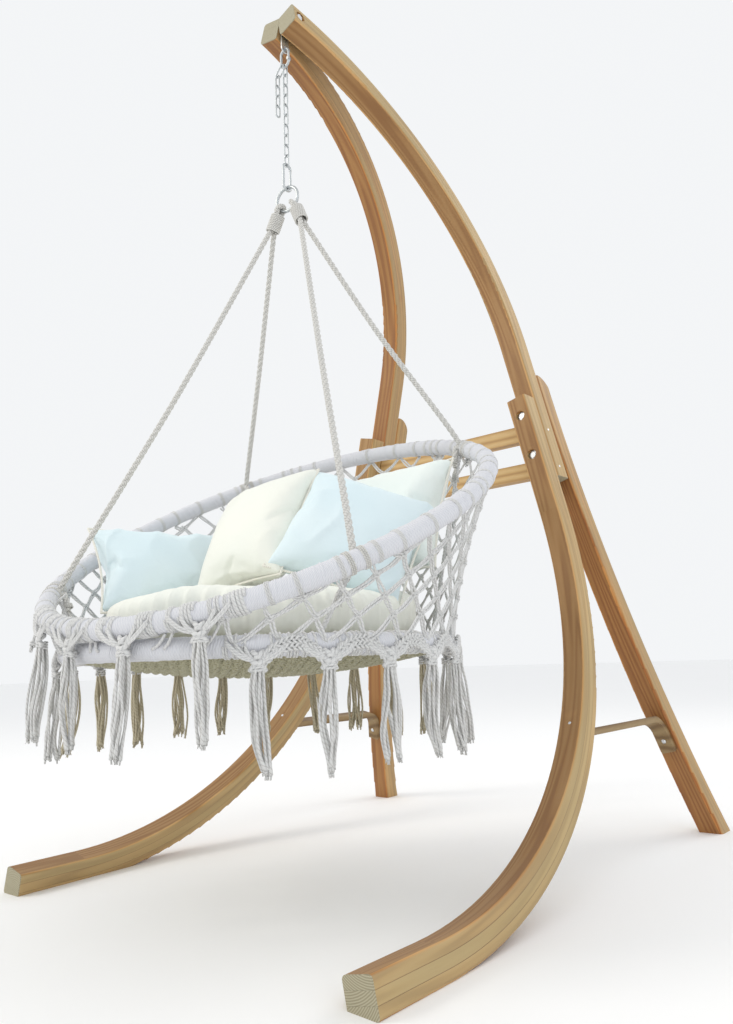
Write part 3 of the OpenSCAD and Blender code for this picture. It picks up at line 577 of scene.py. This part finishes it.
# ---------------------------------------------------------------- hoops wound with cord
def wound_hoop(name, radius, to_chair, node, rib, seed):
    """A hoop closely wound with cord: one low rib for each turn, each a little unlike the next."""
    local = random.Random(seed)
    turns = int(2 * math.pi * radius / rib)
    steps, sides = 5, 22
    plump = [local.uniform(-0.00035, 0.00035) for _ in range(turns)]
    thick = set()
    for c in range(0, turns, 17):
        thick.update(range(c, c + local.choice((1, 2, 2, 3))))
    verts, faces, uvs = [], [], []
    n = turns * steps
    for i in range(n):
        turn, inside = divmod(i, steps)
        a = 2 * math.pi * i / n
        crest = math.sin(math.pi * (inside + 0.5) / steps)
        r = WRAP_R - 0.0010 + 0.0013 * crest + plump[turn] + (0.0008 * crest if turn in thick else 0)
        for k in range(sides):
            b = 2 * math.pi * k / sides
            skew = 0.010 * math.sin(b)     # the turns lie a little askew
            rr = radius + r * math.cos(b)
            verts.append((rr * math.sin(a + skew), -rr * math.cos(a + skew), r * math.sin(b)))
    for i in range(n):
        j = (i + 1) % n
        for k in range(sides):
            m = (k + 1) % sides
            faces.append((i * sides + k, j * sides + k, j * sides + m, i * sides + m))
            u0, u1 = i / steps * rib, (i + 1) / steps * rib
            uvs += [u0, k / sides, u1, k / sides, u1, (k + 1) / sides, u0, (k + 1) / sides]
    mesh = corded_mesh(name, verts, faces, uvs, WRAP)
    mesh.transform(to_chair)
    return place(name, mesh, [node])


HOOP_FRAME = Matrix.Translation((0, HOOP_Y, HOOP_Z)) @ Matrix.Rotation(TILT, 4, "X")
SEAT_FRAME = Matrix.Translation((0, SEAT_Y, SEAT_Z))
wound_hoop("hoop_winding", HOOP_R, HOOP_FRAME, "hoop_wrap", 0.0044, 1)
wound_hoop("seat_hoop_winding", SEAT_R, SEAT_FRAME, "seat_wrap", 0.0048, 2)

# ---------------------------------------------------------------- hanging ropes
WIRE_R = 0.004


def bind(side):
    top = np.array([side * 0.022, 0, RING_Z - 0.022])
    way = unit((hoop_pt(side * FRONT_T) + hoop_pt(side * BACK_T)) / 2 - top)
    return top, way, top + way * 0.0055, top + way * 0.0575


for side, label in ((-1, "left"), (1, "right")):
    top, way, a, b = bind(side)
    hitch = Tubes()
    radial = unit([side * 1.0, 0, -1.0])
    tangent = np.array([-radial[2] * side, 0, radial[0] * side])
    loop = helix(top, tangent, WIRE_R + ROPE_D / 2 + 0.0006, 0.94, 0.002, way, 28)
    laid_rope(hitch, loop, ROPE_D / 2, 0.03)
    lateral = unit(np.array([0, 1.0, 0]) - way[1] * way)
    for off in (-1, 1):
        p = [a + lateral * off * 0.0095 - way * 0.004, a + lateral * off * 0.0075 + way * 0.012,
             b + lateral * off * 0.0068]
        laid_rope(hitch, smooth_path(p, 8), ROPE_D / 2)
    hitch.add(helix((a + b) / 2 + way * 0.004, way, 0.0148, 10, 0.0042, (0, 1, 0), 24), 0.0022, 7)
    hitch.build("rope_hitch_" + label, ROPE, ["hitch_" + label])

    for t, end in ((FRONT_T, "front"), (BACK_T, "back")):
        rope = Tubes()
        p = b + np.array([0, (-1 if t < 90 else 1) * (ROPE_D / 2 + 0.0002), 0])
        q = hoop_pt(side * t)
        tube_dir = along_dir(side * t)
        # down on to the hoop's inner side, past the tube and into a frayed end, bound there with thin cord
        inner = -out_dir(side * t) * (WRAP_R + ROPE_D / 2 - 0.0005)
        low = unit(seat_pt(side * t) - q)
        path = [p, p + (q + inner - p) * 0.5, q + inner + np.array([0, 0, 0.030]), q + inner * 1.02,
                q + inner * 0.95 + low * 0.026, q + inner * 0.7 + low * 0.044]
        laid_rope(rope, smooth_path(path, 16), ROPE_D / 2, 0.044, 3, 9, side + t)
        for place_k in (-0.016, 0.010):
            turns = helix(q + tube_dir * place_k, tube_dir, WRAP_R + 0.0009, 3.0, 0.0031, inner, 22)
            rope.add(turns, 0.0014, 7)
        seizing = helix(q + inner * 0.95 + low * 0.030, low, ROPE_D / 2 + 0.001, 3.0, 0.0034, tube_dir, 16)
        rope.add(seizing, 0.0016, 7)
        end_pt = q + inner * 0.7 + low * 0.044
        for k in range(9):
            spread = unit(low + np.array([rng.uniform(-.35, .35) for _ in range(3)]))
            mid = end_pt + spread * 0.016
            rope.add([end_pt, mid, mid + unit(spread + np.array([0, 0, -.8])) * 0.02],
                     [0.0022, 0.0018, 0.0007], 5)
        rope.build("rope_%s_%s" % (end, label), ROPE, ["rope_%s_%s" % (end, label)])


# ---------------------------------------------------------------- net between the hoops
NET_GAP, NET_OUT = 0.015, 0.009     # its edges from the hoops' centre lines: along the net, and outwards
NET_CURVE = 0.126                   # how far the net bows inwards


def net_u(t):
    return unit(hoop_pt(t) - seat_pt(t))


def net_top(t):
    return hoop_pt(t) - net_u(t) * NET_GAP + out_dir(t) * NET_OUT


def net_bot(t):
    return seat_pt(t) + net_u(t) * NET_GAP + out_dir(t) * NET_OUT


def net_h(t):
    return np.linalg.norm(net_top(t) - net_bot(t))


def net_at(i, h, off=0.0):
    t = i * 360 / NET_N
    total = net_h(t)
    f = min(h / total, 1.0)
    b, e = net_bot(t), net_top(t)
    r = math.radians(t)
    o = unit(np.cross([math.cos(r), math.sin(r), 0], e - b))
    return b + (e - b) * f - out_dir(t) * NET_CURVE * total * f * (1 - f) + o * off


def net_normal(i, h):
    t = math.radians(i * 360 / NET_N)
    return unit(np.cross([math.cos(t), math.sin(t), 0], net_at(i, h + 0.01) - net_at(i, h - 0.01)))


def sagging(a, b, sag, n=7):
    s = np.linspace(0, 1, n)[:, None]
    return a + (b - a) * s + np.array([0, 0, -1.0]) * sag * 4 * s * (1 - s)


def square_knot(tubes, p, across, upward, outward, size=1.0):
    """Two crossed loops with a bar over each: the knot that joins four net cords."""
    r = CORD_R * size
    for m in (-1, 1):
        pts = [(-2.6 * m, -3.2, 0), (-1.3 * m, -1.4, 0.7), (0.6 * m, -0.5, 1.5), (1.9 * m, 0.4, 0.6),
               (1.0 * m, 1.5, -0.5), (-0.8 * m, 1.2, 0.9), (0.4 * m, 2.2, 1.1), (1.9 * m, 3.4, 0)]
        line = [p + (across * x + upward * y + outward * z) * r for x, y, z in pts]
        tubes.add(smooth_path(line, 3), r * 0.95, 7)


def hitch_loops(tubes, t, frame_pt, axis_dir, turns, seed_dir, radius=CORD_R):
    """Turns of cord round a hoop's winding where a strand is tied on."""
    coil = helix(frame_pt(t), axis_dir, WRAP_R + radius * 0.35, turns, radius * 2.1, seed_dir, 18)
    tubes.add(coil, radius, 7)


net = Tubes()
knots = set()
tied_at = set()
for i in range(NET_FIRST + 1, NET_LAST):
    total = net_h(i * 360 / NET_N)
    for j in range(NET_ROWS):
        if (i + j) % 2 == 1:
            continue
        # strands rise from lattice point (i, j) to (i +- 1, j + 1), or to the hoop
        h0 = j * ROW_H
        if h0 > total - 0.012:
            continue
        start = net_at(i, h0) if j else seat_pt(i * 360 / NET_N) + out_dir(i * 360 / NET_N) * WRAP_R * 0.8
        for m in (-1, 1):
            k = i + m
            if k < NET_FIRST or k > NET_LAST:
                continue
            reach = net_h(k * 360 / NET_N)
            h1 = (j + 1) * ROW_H
            tied = h1 > reach - 0.02
            column = i + m * 0.55 if tied and h1 >= reach + 0.010 else k
            end = net_at(column, reach if tied else h1)
            outward = net_normal(i, max(h0, 0.01))
            sideways = unit(np.cross(end - start, outward))
            for c in (-1, 1):
                gap = sideways * CORD_R * 1.02 * c
                line = sagging(start, end, 0.0016 + 0.0016 * rng.random(), 8)
                wobble = 0.0011 * np.sin(np.linspace(0, math.pi * 2, 8) + rng.random() * 6)
                line = line + gap + outward * (CORD_R * 0.25 * c) + sideways * wobble[:, None]
                net.add(line, CORD_R, 7)
            if tied:
                t = column * 360 / NET_N
                if round(t, 1) not in tied_at:
                    tied_at.add(round(t, 1))
                    hitch_loops(net, t, hoop_pt, along_dir(t), 3.0, -net_u(t), 0.0013)
            else:
                knots.add((k, j + 1))
        if j:
            knots.add((i, j))
for i, j in sorted(knots):
    t = i * 360 / NET_N
    square_knot(net, net_at(i, j * ROW_H, 0.001), seat_axis(t), net_u(t), net_normal(i, j * ROW_H))
net.build("side_netting", CORD, ["side_net"])

# cords that run between the two hoops under each rope
ties = Tubes()
for side in (-1, 1):
    for t in (FRONT_T, BACK_T):
        top_pt = hoop_pt(side * t) - out_dir(side * t) * 0.012
        low_pt = seat_pt(side * t) - out_dir(side * t) * 0.012
        v = unit(low_pt - top_pt)
        laid_rope(ties, np.linspace(top_pt + v * 0.018, low_pt - v * 0.016, 12), 0.0048, 0.024, 3, 7)
ties.build("inner_ties", CORD, ["lower_ties"])


# ---------------------------------------------------------------- scalloped band and tassels
def tassel_t(i):
    return (i + 0.35) * 360 / TASSEL_N


def near_side(t):
    """The whiter tassels; those behind and to the left take a tan that is painted shade tinted by light
    reflected from the ground.
    """
    return -50 < (t + 180) % 360 - 180 < 150


def at_front(t):
    return math.cos(math.radians(t)) > 0.86


def tassel_base(t):
    if at_front(t):
        return hoop_pt(t) + out_dir(t) * 0.013 - np.array([0, 0, WRAP_R + 0.027])
    return seat_pt(t) + out_dir(t) * 0.021 - np.array([0, 0, WRAP_R + 0.021])


BUNCH_R = 0.0075                    # a tassel's radius at its binding
band, lashing = Tubes(), Tubes()
fringe, painted_shade_tassels = Tubes(), Tubes()
for i in range(TASSEL_N):
    t = tassel_t(i)
    base = tassel_base(t)
    front = at_front(t)
    bunch = fringe if near_side(t) else painted_shade_tassels
    pt, axis = (hoop_pt, along_dir) if front else (seat_pt, seat_axis)
    head = base + np.array([0, 0, 0.014])
    fans = (3.0, 5.2, 7.4) if not front else (3.4, 6.2)
    for m in (-1, 1):
        for n, w in enumerate(fans):
            tt = t + m * w
            hold = pt(tt) + out_dir(tt) * (WRAP_R + 0.003) + np.array([0, 0, -0.002 + 0.004 * n])
            for c in (-1, 1):
                lift = out_dir(tt) * (0.004 + 0.002 * n) + np.array([0, 0, c * CORD_R])
                mid = (head + hold) / 2 + lift + np.array([0, 0, -0.006])
                far = hold + np.array([0, 0, c * CORD_R])
                band.add(smooth_path([head + lift * 0.4, mid, far], 5), CORD_R, 7)
            hitch_loops(band, tt, pt, axis(tt), 2.2 if front else 1.6, out_dir(tt))
    if not front:
        # a plait of three cords that scallops from this tassel to the next
        nt = tassel_t(i + 1)
        if not at_front(nt):
            s = np.linspace(0, 1, 40)
            line = []
            for f in s:
                tt = t + (nt - t) * f
                rise = math.sin(math.pi * f)
                line.append(seat_pt(tt) + out_dir(tt) * (WRAP_R + 0.006)
                            + np.array([0, 0, -0.030 + 0.038 * rise ** 0.8]))
            line = np.array(line)
            for row, drop in ((0, 0.0), (1, -0.011)):
                for k in range(3):
                    a = 2 * math.pi * (s * 4.5 + k / 3)
                    o = np.array([out_dir(t + (nt - t) * f) for f in s])
                    band.add(line + np.array([0, 0, drop]) + o * (0.0026 * np.sin(2 * a))[:, None]
                             + np.array([0, 0, 1.0]) * (0.0055 * np.sin(a))[:, None], CORD_R, 7)
    # knot at the head of the tassel
    across = unit([math.cos(math.radians(t)), math.sin(math.radians(t)), 0])
    square_knot(band, head, across, np.array([0, 0, 1.0]), out_dir(t), 2.1)
    band.add(helix(base + np.array([0, 0, 0.003]), (0, 0, 1), 0.0088, 2.4, 0.0046, across, 16), CORD_R, 7)
    # the hanging ends: one swaying bunch that parts into two or three clumps
    clumps = [rng.uniform(0, 6.28) for _ in range(rng.choice((2, 2, 3)))]
    sway_a, sway_b, sway_c = rng.uniform(0, 6.28), rng.uniform(0, 6.28), rng.uniform(0.005, 0.012)
    sway_dir = np.array([math.cos(sway_a), math.sin(sway_a), 0])
    length_all = TASSEL_LEN * rng.uniform(0.88, 0.97) - 0.012
    for k in range(TASSEL_CORDS):
        a = k * 2.4 + rng.uniform(-0.3, 0.3)
        r0 = BUNCH_R * math.sqrt((k + 0.6) / TASSEL_CORDS)
        clump = clumps[k % len(clumps)]
        middle = np.array([math.cos(clump), math.sin(clump), 0]) * 0.010
        own = np.array([math.cos(a), math.sin(a), 0])
        side_off = np.array([math.cos(a + 2), math.sin(a + 2), 0])
        length = length_all * rng.uniform(0.93, 1.0)
        beat, phase = rng.uniform(5, 9), rng.uniform(0, 6.28)
        line = []
        for n in range(TASSEL_STEPS):
            f = n / (TASSEL_STEPS - 1)
            belly = math.sin(math.pi * min(f * 1.05, 1.0)) ** 0.8
            wide = own * (r0 + 0.0065 * belly * (0.5 + 0.5 * r0 / BUNCH_R))
            pinch = max(0.0, (f - 0.72) / 0.28)
            off = wide * (1 - 0.3 * pinch) + middle * f ** 1.3
            wave = side_off * 0.0032 * math.sin(beat * f + phase) * min(f * 4, 1)
            sway = sway_dir * sway_c * math.sin(3.4 * f + sway_b) * f
            line.append(base + off + wave + sway + np.array([0, 0, 0.006 - length * f]))
        strand = [0.00235] * (TASSEL_STEPS - 3) + [0.0026, 0.0032, 0.0030]
        bunch.add(line, strand, 6, start=rng.random())
        tip = np.array(line[-1])
        for _ in range(3):
            d = np.array([rng.uniform(-.35, .35), rng.uniform(-.35, .35), -1.0])
            bunch.add([tip, tip + d * 0.007], [0.0018, 0.0006], 4)
for t in range(-30, 31, 10):
    for off in (-0.35, 0.35):
        hitch_loops(lashing, t + off, hoop_pt, along_dir(t), 2.2, (0, 0, 1), 0.0027)
band.build("scalloped_band", CORD, ["swag_band"])
fringe.build("tassel_fringe", FRINGE, ["tassels"])
painted_shade_tassels.build("tassel_fringe_painted_shade", FRINGE_PAINTED_SHADE, ["tassels"])

# front: the two hoops bound together by paired cords
for t in range(-25, 26, 10):
    for off in (-0.8, 0.8):
        p = hoop_pt(t + off) + np.array([0, 0, -WRAP_R - 0.001])
        q = seat_pt(t + off * 2) + out_dir(t) * (WRAP_R + 0.002)
        lashing.add(smooth_path([p, (p + q) / 2 + np.array([0, 0, -0.004]), q], 6), 0.0026, 7)
lashing.build("front_lashings", CORD, ["front_lashing"])

# ---------------------------------------------------------------- woven seat
weave = Tubes()
rim, dish = SEAT_R - WRAP_R * 0.6, 0.042
pitch = 0.0125
lanes = int(2 * rim / pitch)
for turn in (0, 1):
    for k in range(lanes + 1):
        x = -rim + (k + 0.5) * pitch + rng.uniform(-0.0012, 0.0012)
        if abs(x) > rim - 0.012:
            continue
        half = math.sqrt(rim * rim - x * x)
        n = max(int(2 * half / 0.006), 6)
        y = np.linspace(-half, half, n)
        r2 = (x * x + y * y) / (rim * rim)
        z = -dish * (1 - r2) - 0.009
        over = 0.0024 * np.sin(math.pi * (y / pitch + k + turn)) * (1 if turn else -1)
        wander = 0.0016 * np.sin(y * 21 + k * 2.1)
        line = np.stack([np.full(n, x) + wander, y, z + over], 1)
        if turn:
            line = line[:, [1, 0, 2]]
        weave.add(line + np.array([0, SEAT_Y, SEAT_Z]), 0.0034, 6, ref=(0, 0, 1))
weave.build("woven_seat", WEAVE_PAINTED_SHADE, ["seat_net"])


# ---------------------------------------------------------------- cushions
def cloth(name, tone, shade):
    s = Shader(name)
    p = s.position()
    thread = s.math("MULTIPLY", s.waves(p, "BANDS", "X", 260, 1.0), s.waves(p, "BANDS", "Z", 260, 1.0))
    crease = s.noise(p, 14, 4, 0.55)
    soft = s.noise(p, 5, 2, 0.5)
    colour = s.mix(s.ramp(soft, [(0.3, 0.0), (0.75, 1.0)]), tone, shade)
    colour = s.mix(s.math("MULTIPLY", thread, 0.10), colour, [c * 0.8 for c in shade])
    s.set(Base_Color=colour, Roughness=0.82, Sheen_Weight=0.3, Sheen_Roughness=0.45,
          Specular_IOR_Level=0.25)
    first = s.bump(thread, 0.35, 0.0003)
    s.put(s.bsdf.inputs["Normal"], s.bump(crease, 0.45, 0.006, first))
    return s.mat


# one white cotton in two painted copies: the bluish one paints the cloth in shade, the cream one paints it in
# sunlight
CLOTH_PAINTED_SHADE = cloth("cushion_cloth", (0.75, 0.86, 0.89), (0.68, 0.82, 0.87))
CLOTH_PAINTED_LIGHT = cloth("cushion_painted_light", (0.88, 0.88, 0.80), (0.82, 0.85, 0.79))
PALE = cloth("cushion_pale", (0.84, 0.89, 0.85), (0.79, 0.87, 0.85))


def puff(u, v):
    return max((1 - abs(u) ** 2.6) * (1 - abs(v) ** 2.6), 0.0) ** 0.42


def pillow_mesh(name, w, h, t, n=34):
    """A square cushion: crowned, with sides pulled in between its corners."""
    grid = []
    for j in range(n + 1):
        for i in range(n + 1):
            u, v = math.sin(math.pi / 2 * (2 * i / n - 1)), math.sin(math.pi / 2 * (2 * j / n - 1))
            x = w / 2 * u * (1 - 0.07 * u * u * (1 - v * v))
            y = h / 2 * v * (1 - 0.07 * v * v * (1 - u * u))
            grid.append((x, y, t / 2 * puff(u, v) + 0.0006))
    m, s = n + 1, (n + 1) ** 2
    verts = grid + [(x, y, -z) for x, y, z in grid]
    faces = [(j * m + i, j * m + i + 1, (j + 1) * m + i + 1, (j + 1) * m + i)
             for j in range(n) for i in range(n)]
    faces += [tuple(reversed([q + s for q in f])) for f in faces[:n * n]]
    edge = ([i for i in range(n)] + [j * m + n for j in range(n)] + [n * m + i for i in range(n, 0, -1)]
            + [j * m for j in range(n, 0, -1)])
    faces += [(edge[(k + 1) % len(edge)], edge[k], edge[k] + s, edge[(k + 1) % len(edge)] + s)
              for k in range(len(edge))]
    mesh = bpy.data.meshes.new(name)
    mesh.from_pydata(verts, [], faces)
    return mesh, [np.array(grid[k]) * np.array([1, 1, 0]) for k in edge]


def swell(mesh, cap, voxel=0.006, pressure=4.0):
    """Cloth under pressure with no gravity, so that the cushion fills and its seams pucker."""
    made = bpy.data.objects.new("swelling", mesh)
    bpy.context.scene.collection.objects.link(made)
    bpy.context.view_layer.objects.active = made
    remesh = made.modifiers.new("remesh", "REMESH")
    remesh.mode, remesh.voxel_size = "VOXEL", voxel
    bpy.ops.object.modifier_apply(modifier="remesh")
    before = np.array([v.co for v in made.data.vertices])
    sim = made.modifiers.new("cloth", "CLOTH")
    sim.settings.use_pressure = True
    sim.settings.uniform_pressure_force = pressure
    sim.settings.effector_weights.gravity = 0
    sim.settings.quality = 5
    for f in range(1, 21):
        bpy.context.scene.frame_set(f)
    dg = bpy.context.evaluated_depsgraph_get()
    held = made.evaluated_get(dg)
    after = np.array([v.co for v in held.data.vertices])
    made.modifiers.remove(sim)
    bpy.context.scene.frame_set(1)
    move = after - before
    length = np.linalg.norm(move, axis=1)
    move *= np.minimum(1.0, cap / np.maximum(length, 1e-9))[:, None]
    made.data.vertices.foreach_set("co", (before + move).astype(np.float32).ravel())
    made.data.update()
    out = made.data
    bpy.data.objects.remove(made)
    return out


def folds(mesh, seed, depth, scale=7.0):
    """Soft creases pressed into the cover."""
    n = len(mesh.vertices)
    co = np.zeros(n * 3, np.float32)
    mesh.vertices.foreach_get("co", co)
    co = co.reshape(-1, 3)
    normals = np.array([v.normal for v in mesh.vertices])
    move = np.zeros(n)
    for k in range(n):
        p = Vector(co[k]) * scale + Vector((seed * 11.3, seed * 5.7, 0))
        ridge = 1 - abs(noise.noise(p + Vector((0, 0, noise.noise(p * 0.7) * 1.5)))) * 2
        move[k] = (ridge ** 3) * depth + noise.noise(p * 0.5) * depth * 0.8
    mesh.vertices.foreach_set("co", (co + normals * move[:, None]).astype(np.float32).ravel())
    mesh.update()


def pillow(name, node, at, turn, lean, roll, w, h, t, seed, fill, material):
    mesh, seam = pillow_mesh(name, w - 0.012, h - 0.012, t * 0.92)
    mesh = swell(mesh, 0.022)
    folds(mesh, seed, 0.0055)
    mesh.name = name
    turnm = (Matrix.Translation(Vector(at) / 1000) @ Matrix.Rotation(math.radians(turn), 4, "Z")
             @ Matrix.Rotation(math.radians(lean), 4, "X") @ Matrix.Rotation(math.radians(roll), 4, "Z"))
    mesh.transform(turnm)
    mesh.materials.append(material)
    mesh.shade_smooth()
    made = place(name, mesh, [node])
    made.modifiers.new("smooth", "SUBSURF").render_levels = 1
    piping = Tubes()
    line = [turnm @ Vector(p) for p in seam]
    piping.add([tuple(p) for p in line], 0.0026, 8, closed=True)
    piping.build(name + "_piping", PIPE, (), "cushion_cloth")


PIPE = cotton("piping", (0.88, 0.86, 0.78), (0.66, 0.64, 0.56), 0.004, 1.0, 0.0002)
PILLOWS = [
    ("cushion_left", "pillow_left", (-290, -65, 668), 68, 60, 0, .390, .240, .110, 1, 0.6, CLOTH_PAINTED_SHADE),
    ("cushion_centre", "pillow_centre", (-30, -85, 722), -14, 60, 8, .285, .285, .120, 2, 0.8, CLOTH_PAINTED_LIGHT),
    ("cushion_front", "pillow_front", (190, -45, 700), 40, 60, -24, .290, .290, .120, 3, 0.75, CLOTH_PAINTED_SHADE),
    ("cushion_back", "pillow_back", (165, 110, 750), -4, 62, 4, .330, .300, .110, 4, 0.7, PALE),
]
for row in PILLOWS:
    pillow(*row)


def seat_cushion():
    """A round seat pad whose cover is gathered round its edge."""
    rings, spokes, gathers = 26, 220, 55
    radius, half = 0.313, 0.057
    verts, faces = [], []
    local = random.Random(5)
    gather = [local.uniform(0.4, 1.0) for _ in range(gathers)]
    for r in range(2 * rings + 1):
        f = r / (2 * rings)
        a = math.pi * f                                  # from the top's middle to the bottom's
        for k in range(spokes):
            b = 2 * math.pi * k / spokes
            edge = math.sin(a) ** 0.30
            pucker = gather[int(k / spokes * gathers)] * math.sin(k / spokes * gathers * 2 * math.pi)
            wave = 0.0065 * pucker * max(0, (math.sin(a) - 0.30) / 0.70) ** 1.5
            rr = (radius - 0.006) * edge + wave
            bulge = half * math.copysign(abs(math.cos(a)) ** 0.6, math.cos(a))
            soft = 0.006 * math.sin(3 * b + 1) * math.sin(a) + 0.004 * math.sin(7 * b) * math.sin(a)
            sag = -0.008 * math.exp(-((rr * math.cos(b)) ** 2 + (rr * math.sin(b)) ** 2) / 0.03)
            verts.append((rr * math.sin(b), -rr * math.cos(b), bulge + soft + sag + wave * 0.5))
    for r in range(2 * rings):
        for k in range(spokes):
            m = (k + 1) % spokes
            faces.append((r * spokes + k, (r + 1) * spokes + k, (r + 1) * spokes + m, r * spokes + m))
    mesh = bpy.data.meshes.new("seat_pad")
    mesh.from_pydata(verts, [], faces)
    mesh.transform(Matrix.Translation((0, SEAT_Y + 0.006, SEAT_Z + 0.056)))
    bm = bmesh.new()
    bm.from_mesh(mesh)
    bmesh.ops.remove_doubles(bm, verts=bm.verts, dist=0.00005)
    bmesh.ops.recalc_face_normals(bm, faces=bm.faces)
    bm.to_mesh(mesh)
    bm.free()
    mesh.materials.append(CLOTH_PAINTED_LIGHT)
    mesh.shade_smooth()
    made = place("seat_pad", mesh, ["seat_cushion"])


seat_cushion()

# ---------------------------------------------------------------- floor and light
floor_mesh = bpy.data.meshes.new("floor")
floor_mesh.from_pydata([(-30, -30, 0), (30, -30, 0), (30, 30, 0), (-30, 30, 0)], [], [(0, 1, 2, 3)])
floor = bpy.data.objects.new("floor", floor_mesh)
bpy.context.scene.collection.objects.link(floor)
pale = Shader("floor")
pale_tone = pale.mix(pale.noise(pale.position(), 0.4, 2), (0.93, 0.93, 0.93), (0.95, 0.95, 0.95))
pale.set(Base_Color=pale_tone, Roughness=0.9)
floor.data.materials.append(pale.mat)

world = bpy.data.worlds.new("studio")
bpy.context.scene.world = world
world.use_nodes = True
world.node_tree.nodes["Background"].inputs[0].default_value = (0.97, 0.985, 1.0, 1)
world.node_tree.nodes["Background"].inputs[1].default_value = 0.93


def lamp(name, at, target, size, power, tone):
    data = bpy.data.lights.new(name, "AREA")
    data.size, data.energy, data.color = size, power, tone
    made = bpy.data.objects.new(name, data)
    bpy.context.scene.collection.objects.link(made)
    made.location = at
    made.rotation_euler = (Vector(target) - Vector(at)).to_track_quat("-Z", "Y").to_euler()


lamp("key", (-2.6, -3.4, 3.6), (0, -0.1, 0.8), 1.6, 70, (1.0, 0.94, 0.84))
lamp("fill", (3.4, -1.6, 2.4), (0, 0, 0.9), 2.6, 14, (0.92, 0.96, 1.0))
lamp("rim", (1.5, 3.2, 3.4), (0, 0, 1.0), 2.0, 26, (1.0, 0.97, 0.92))
bpy.context.scene.view_settings.view_transform = "Standard"
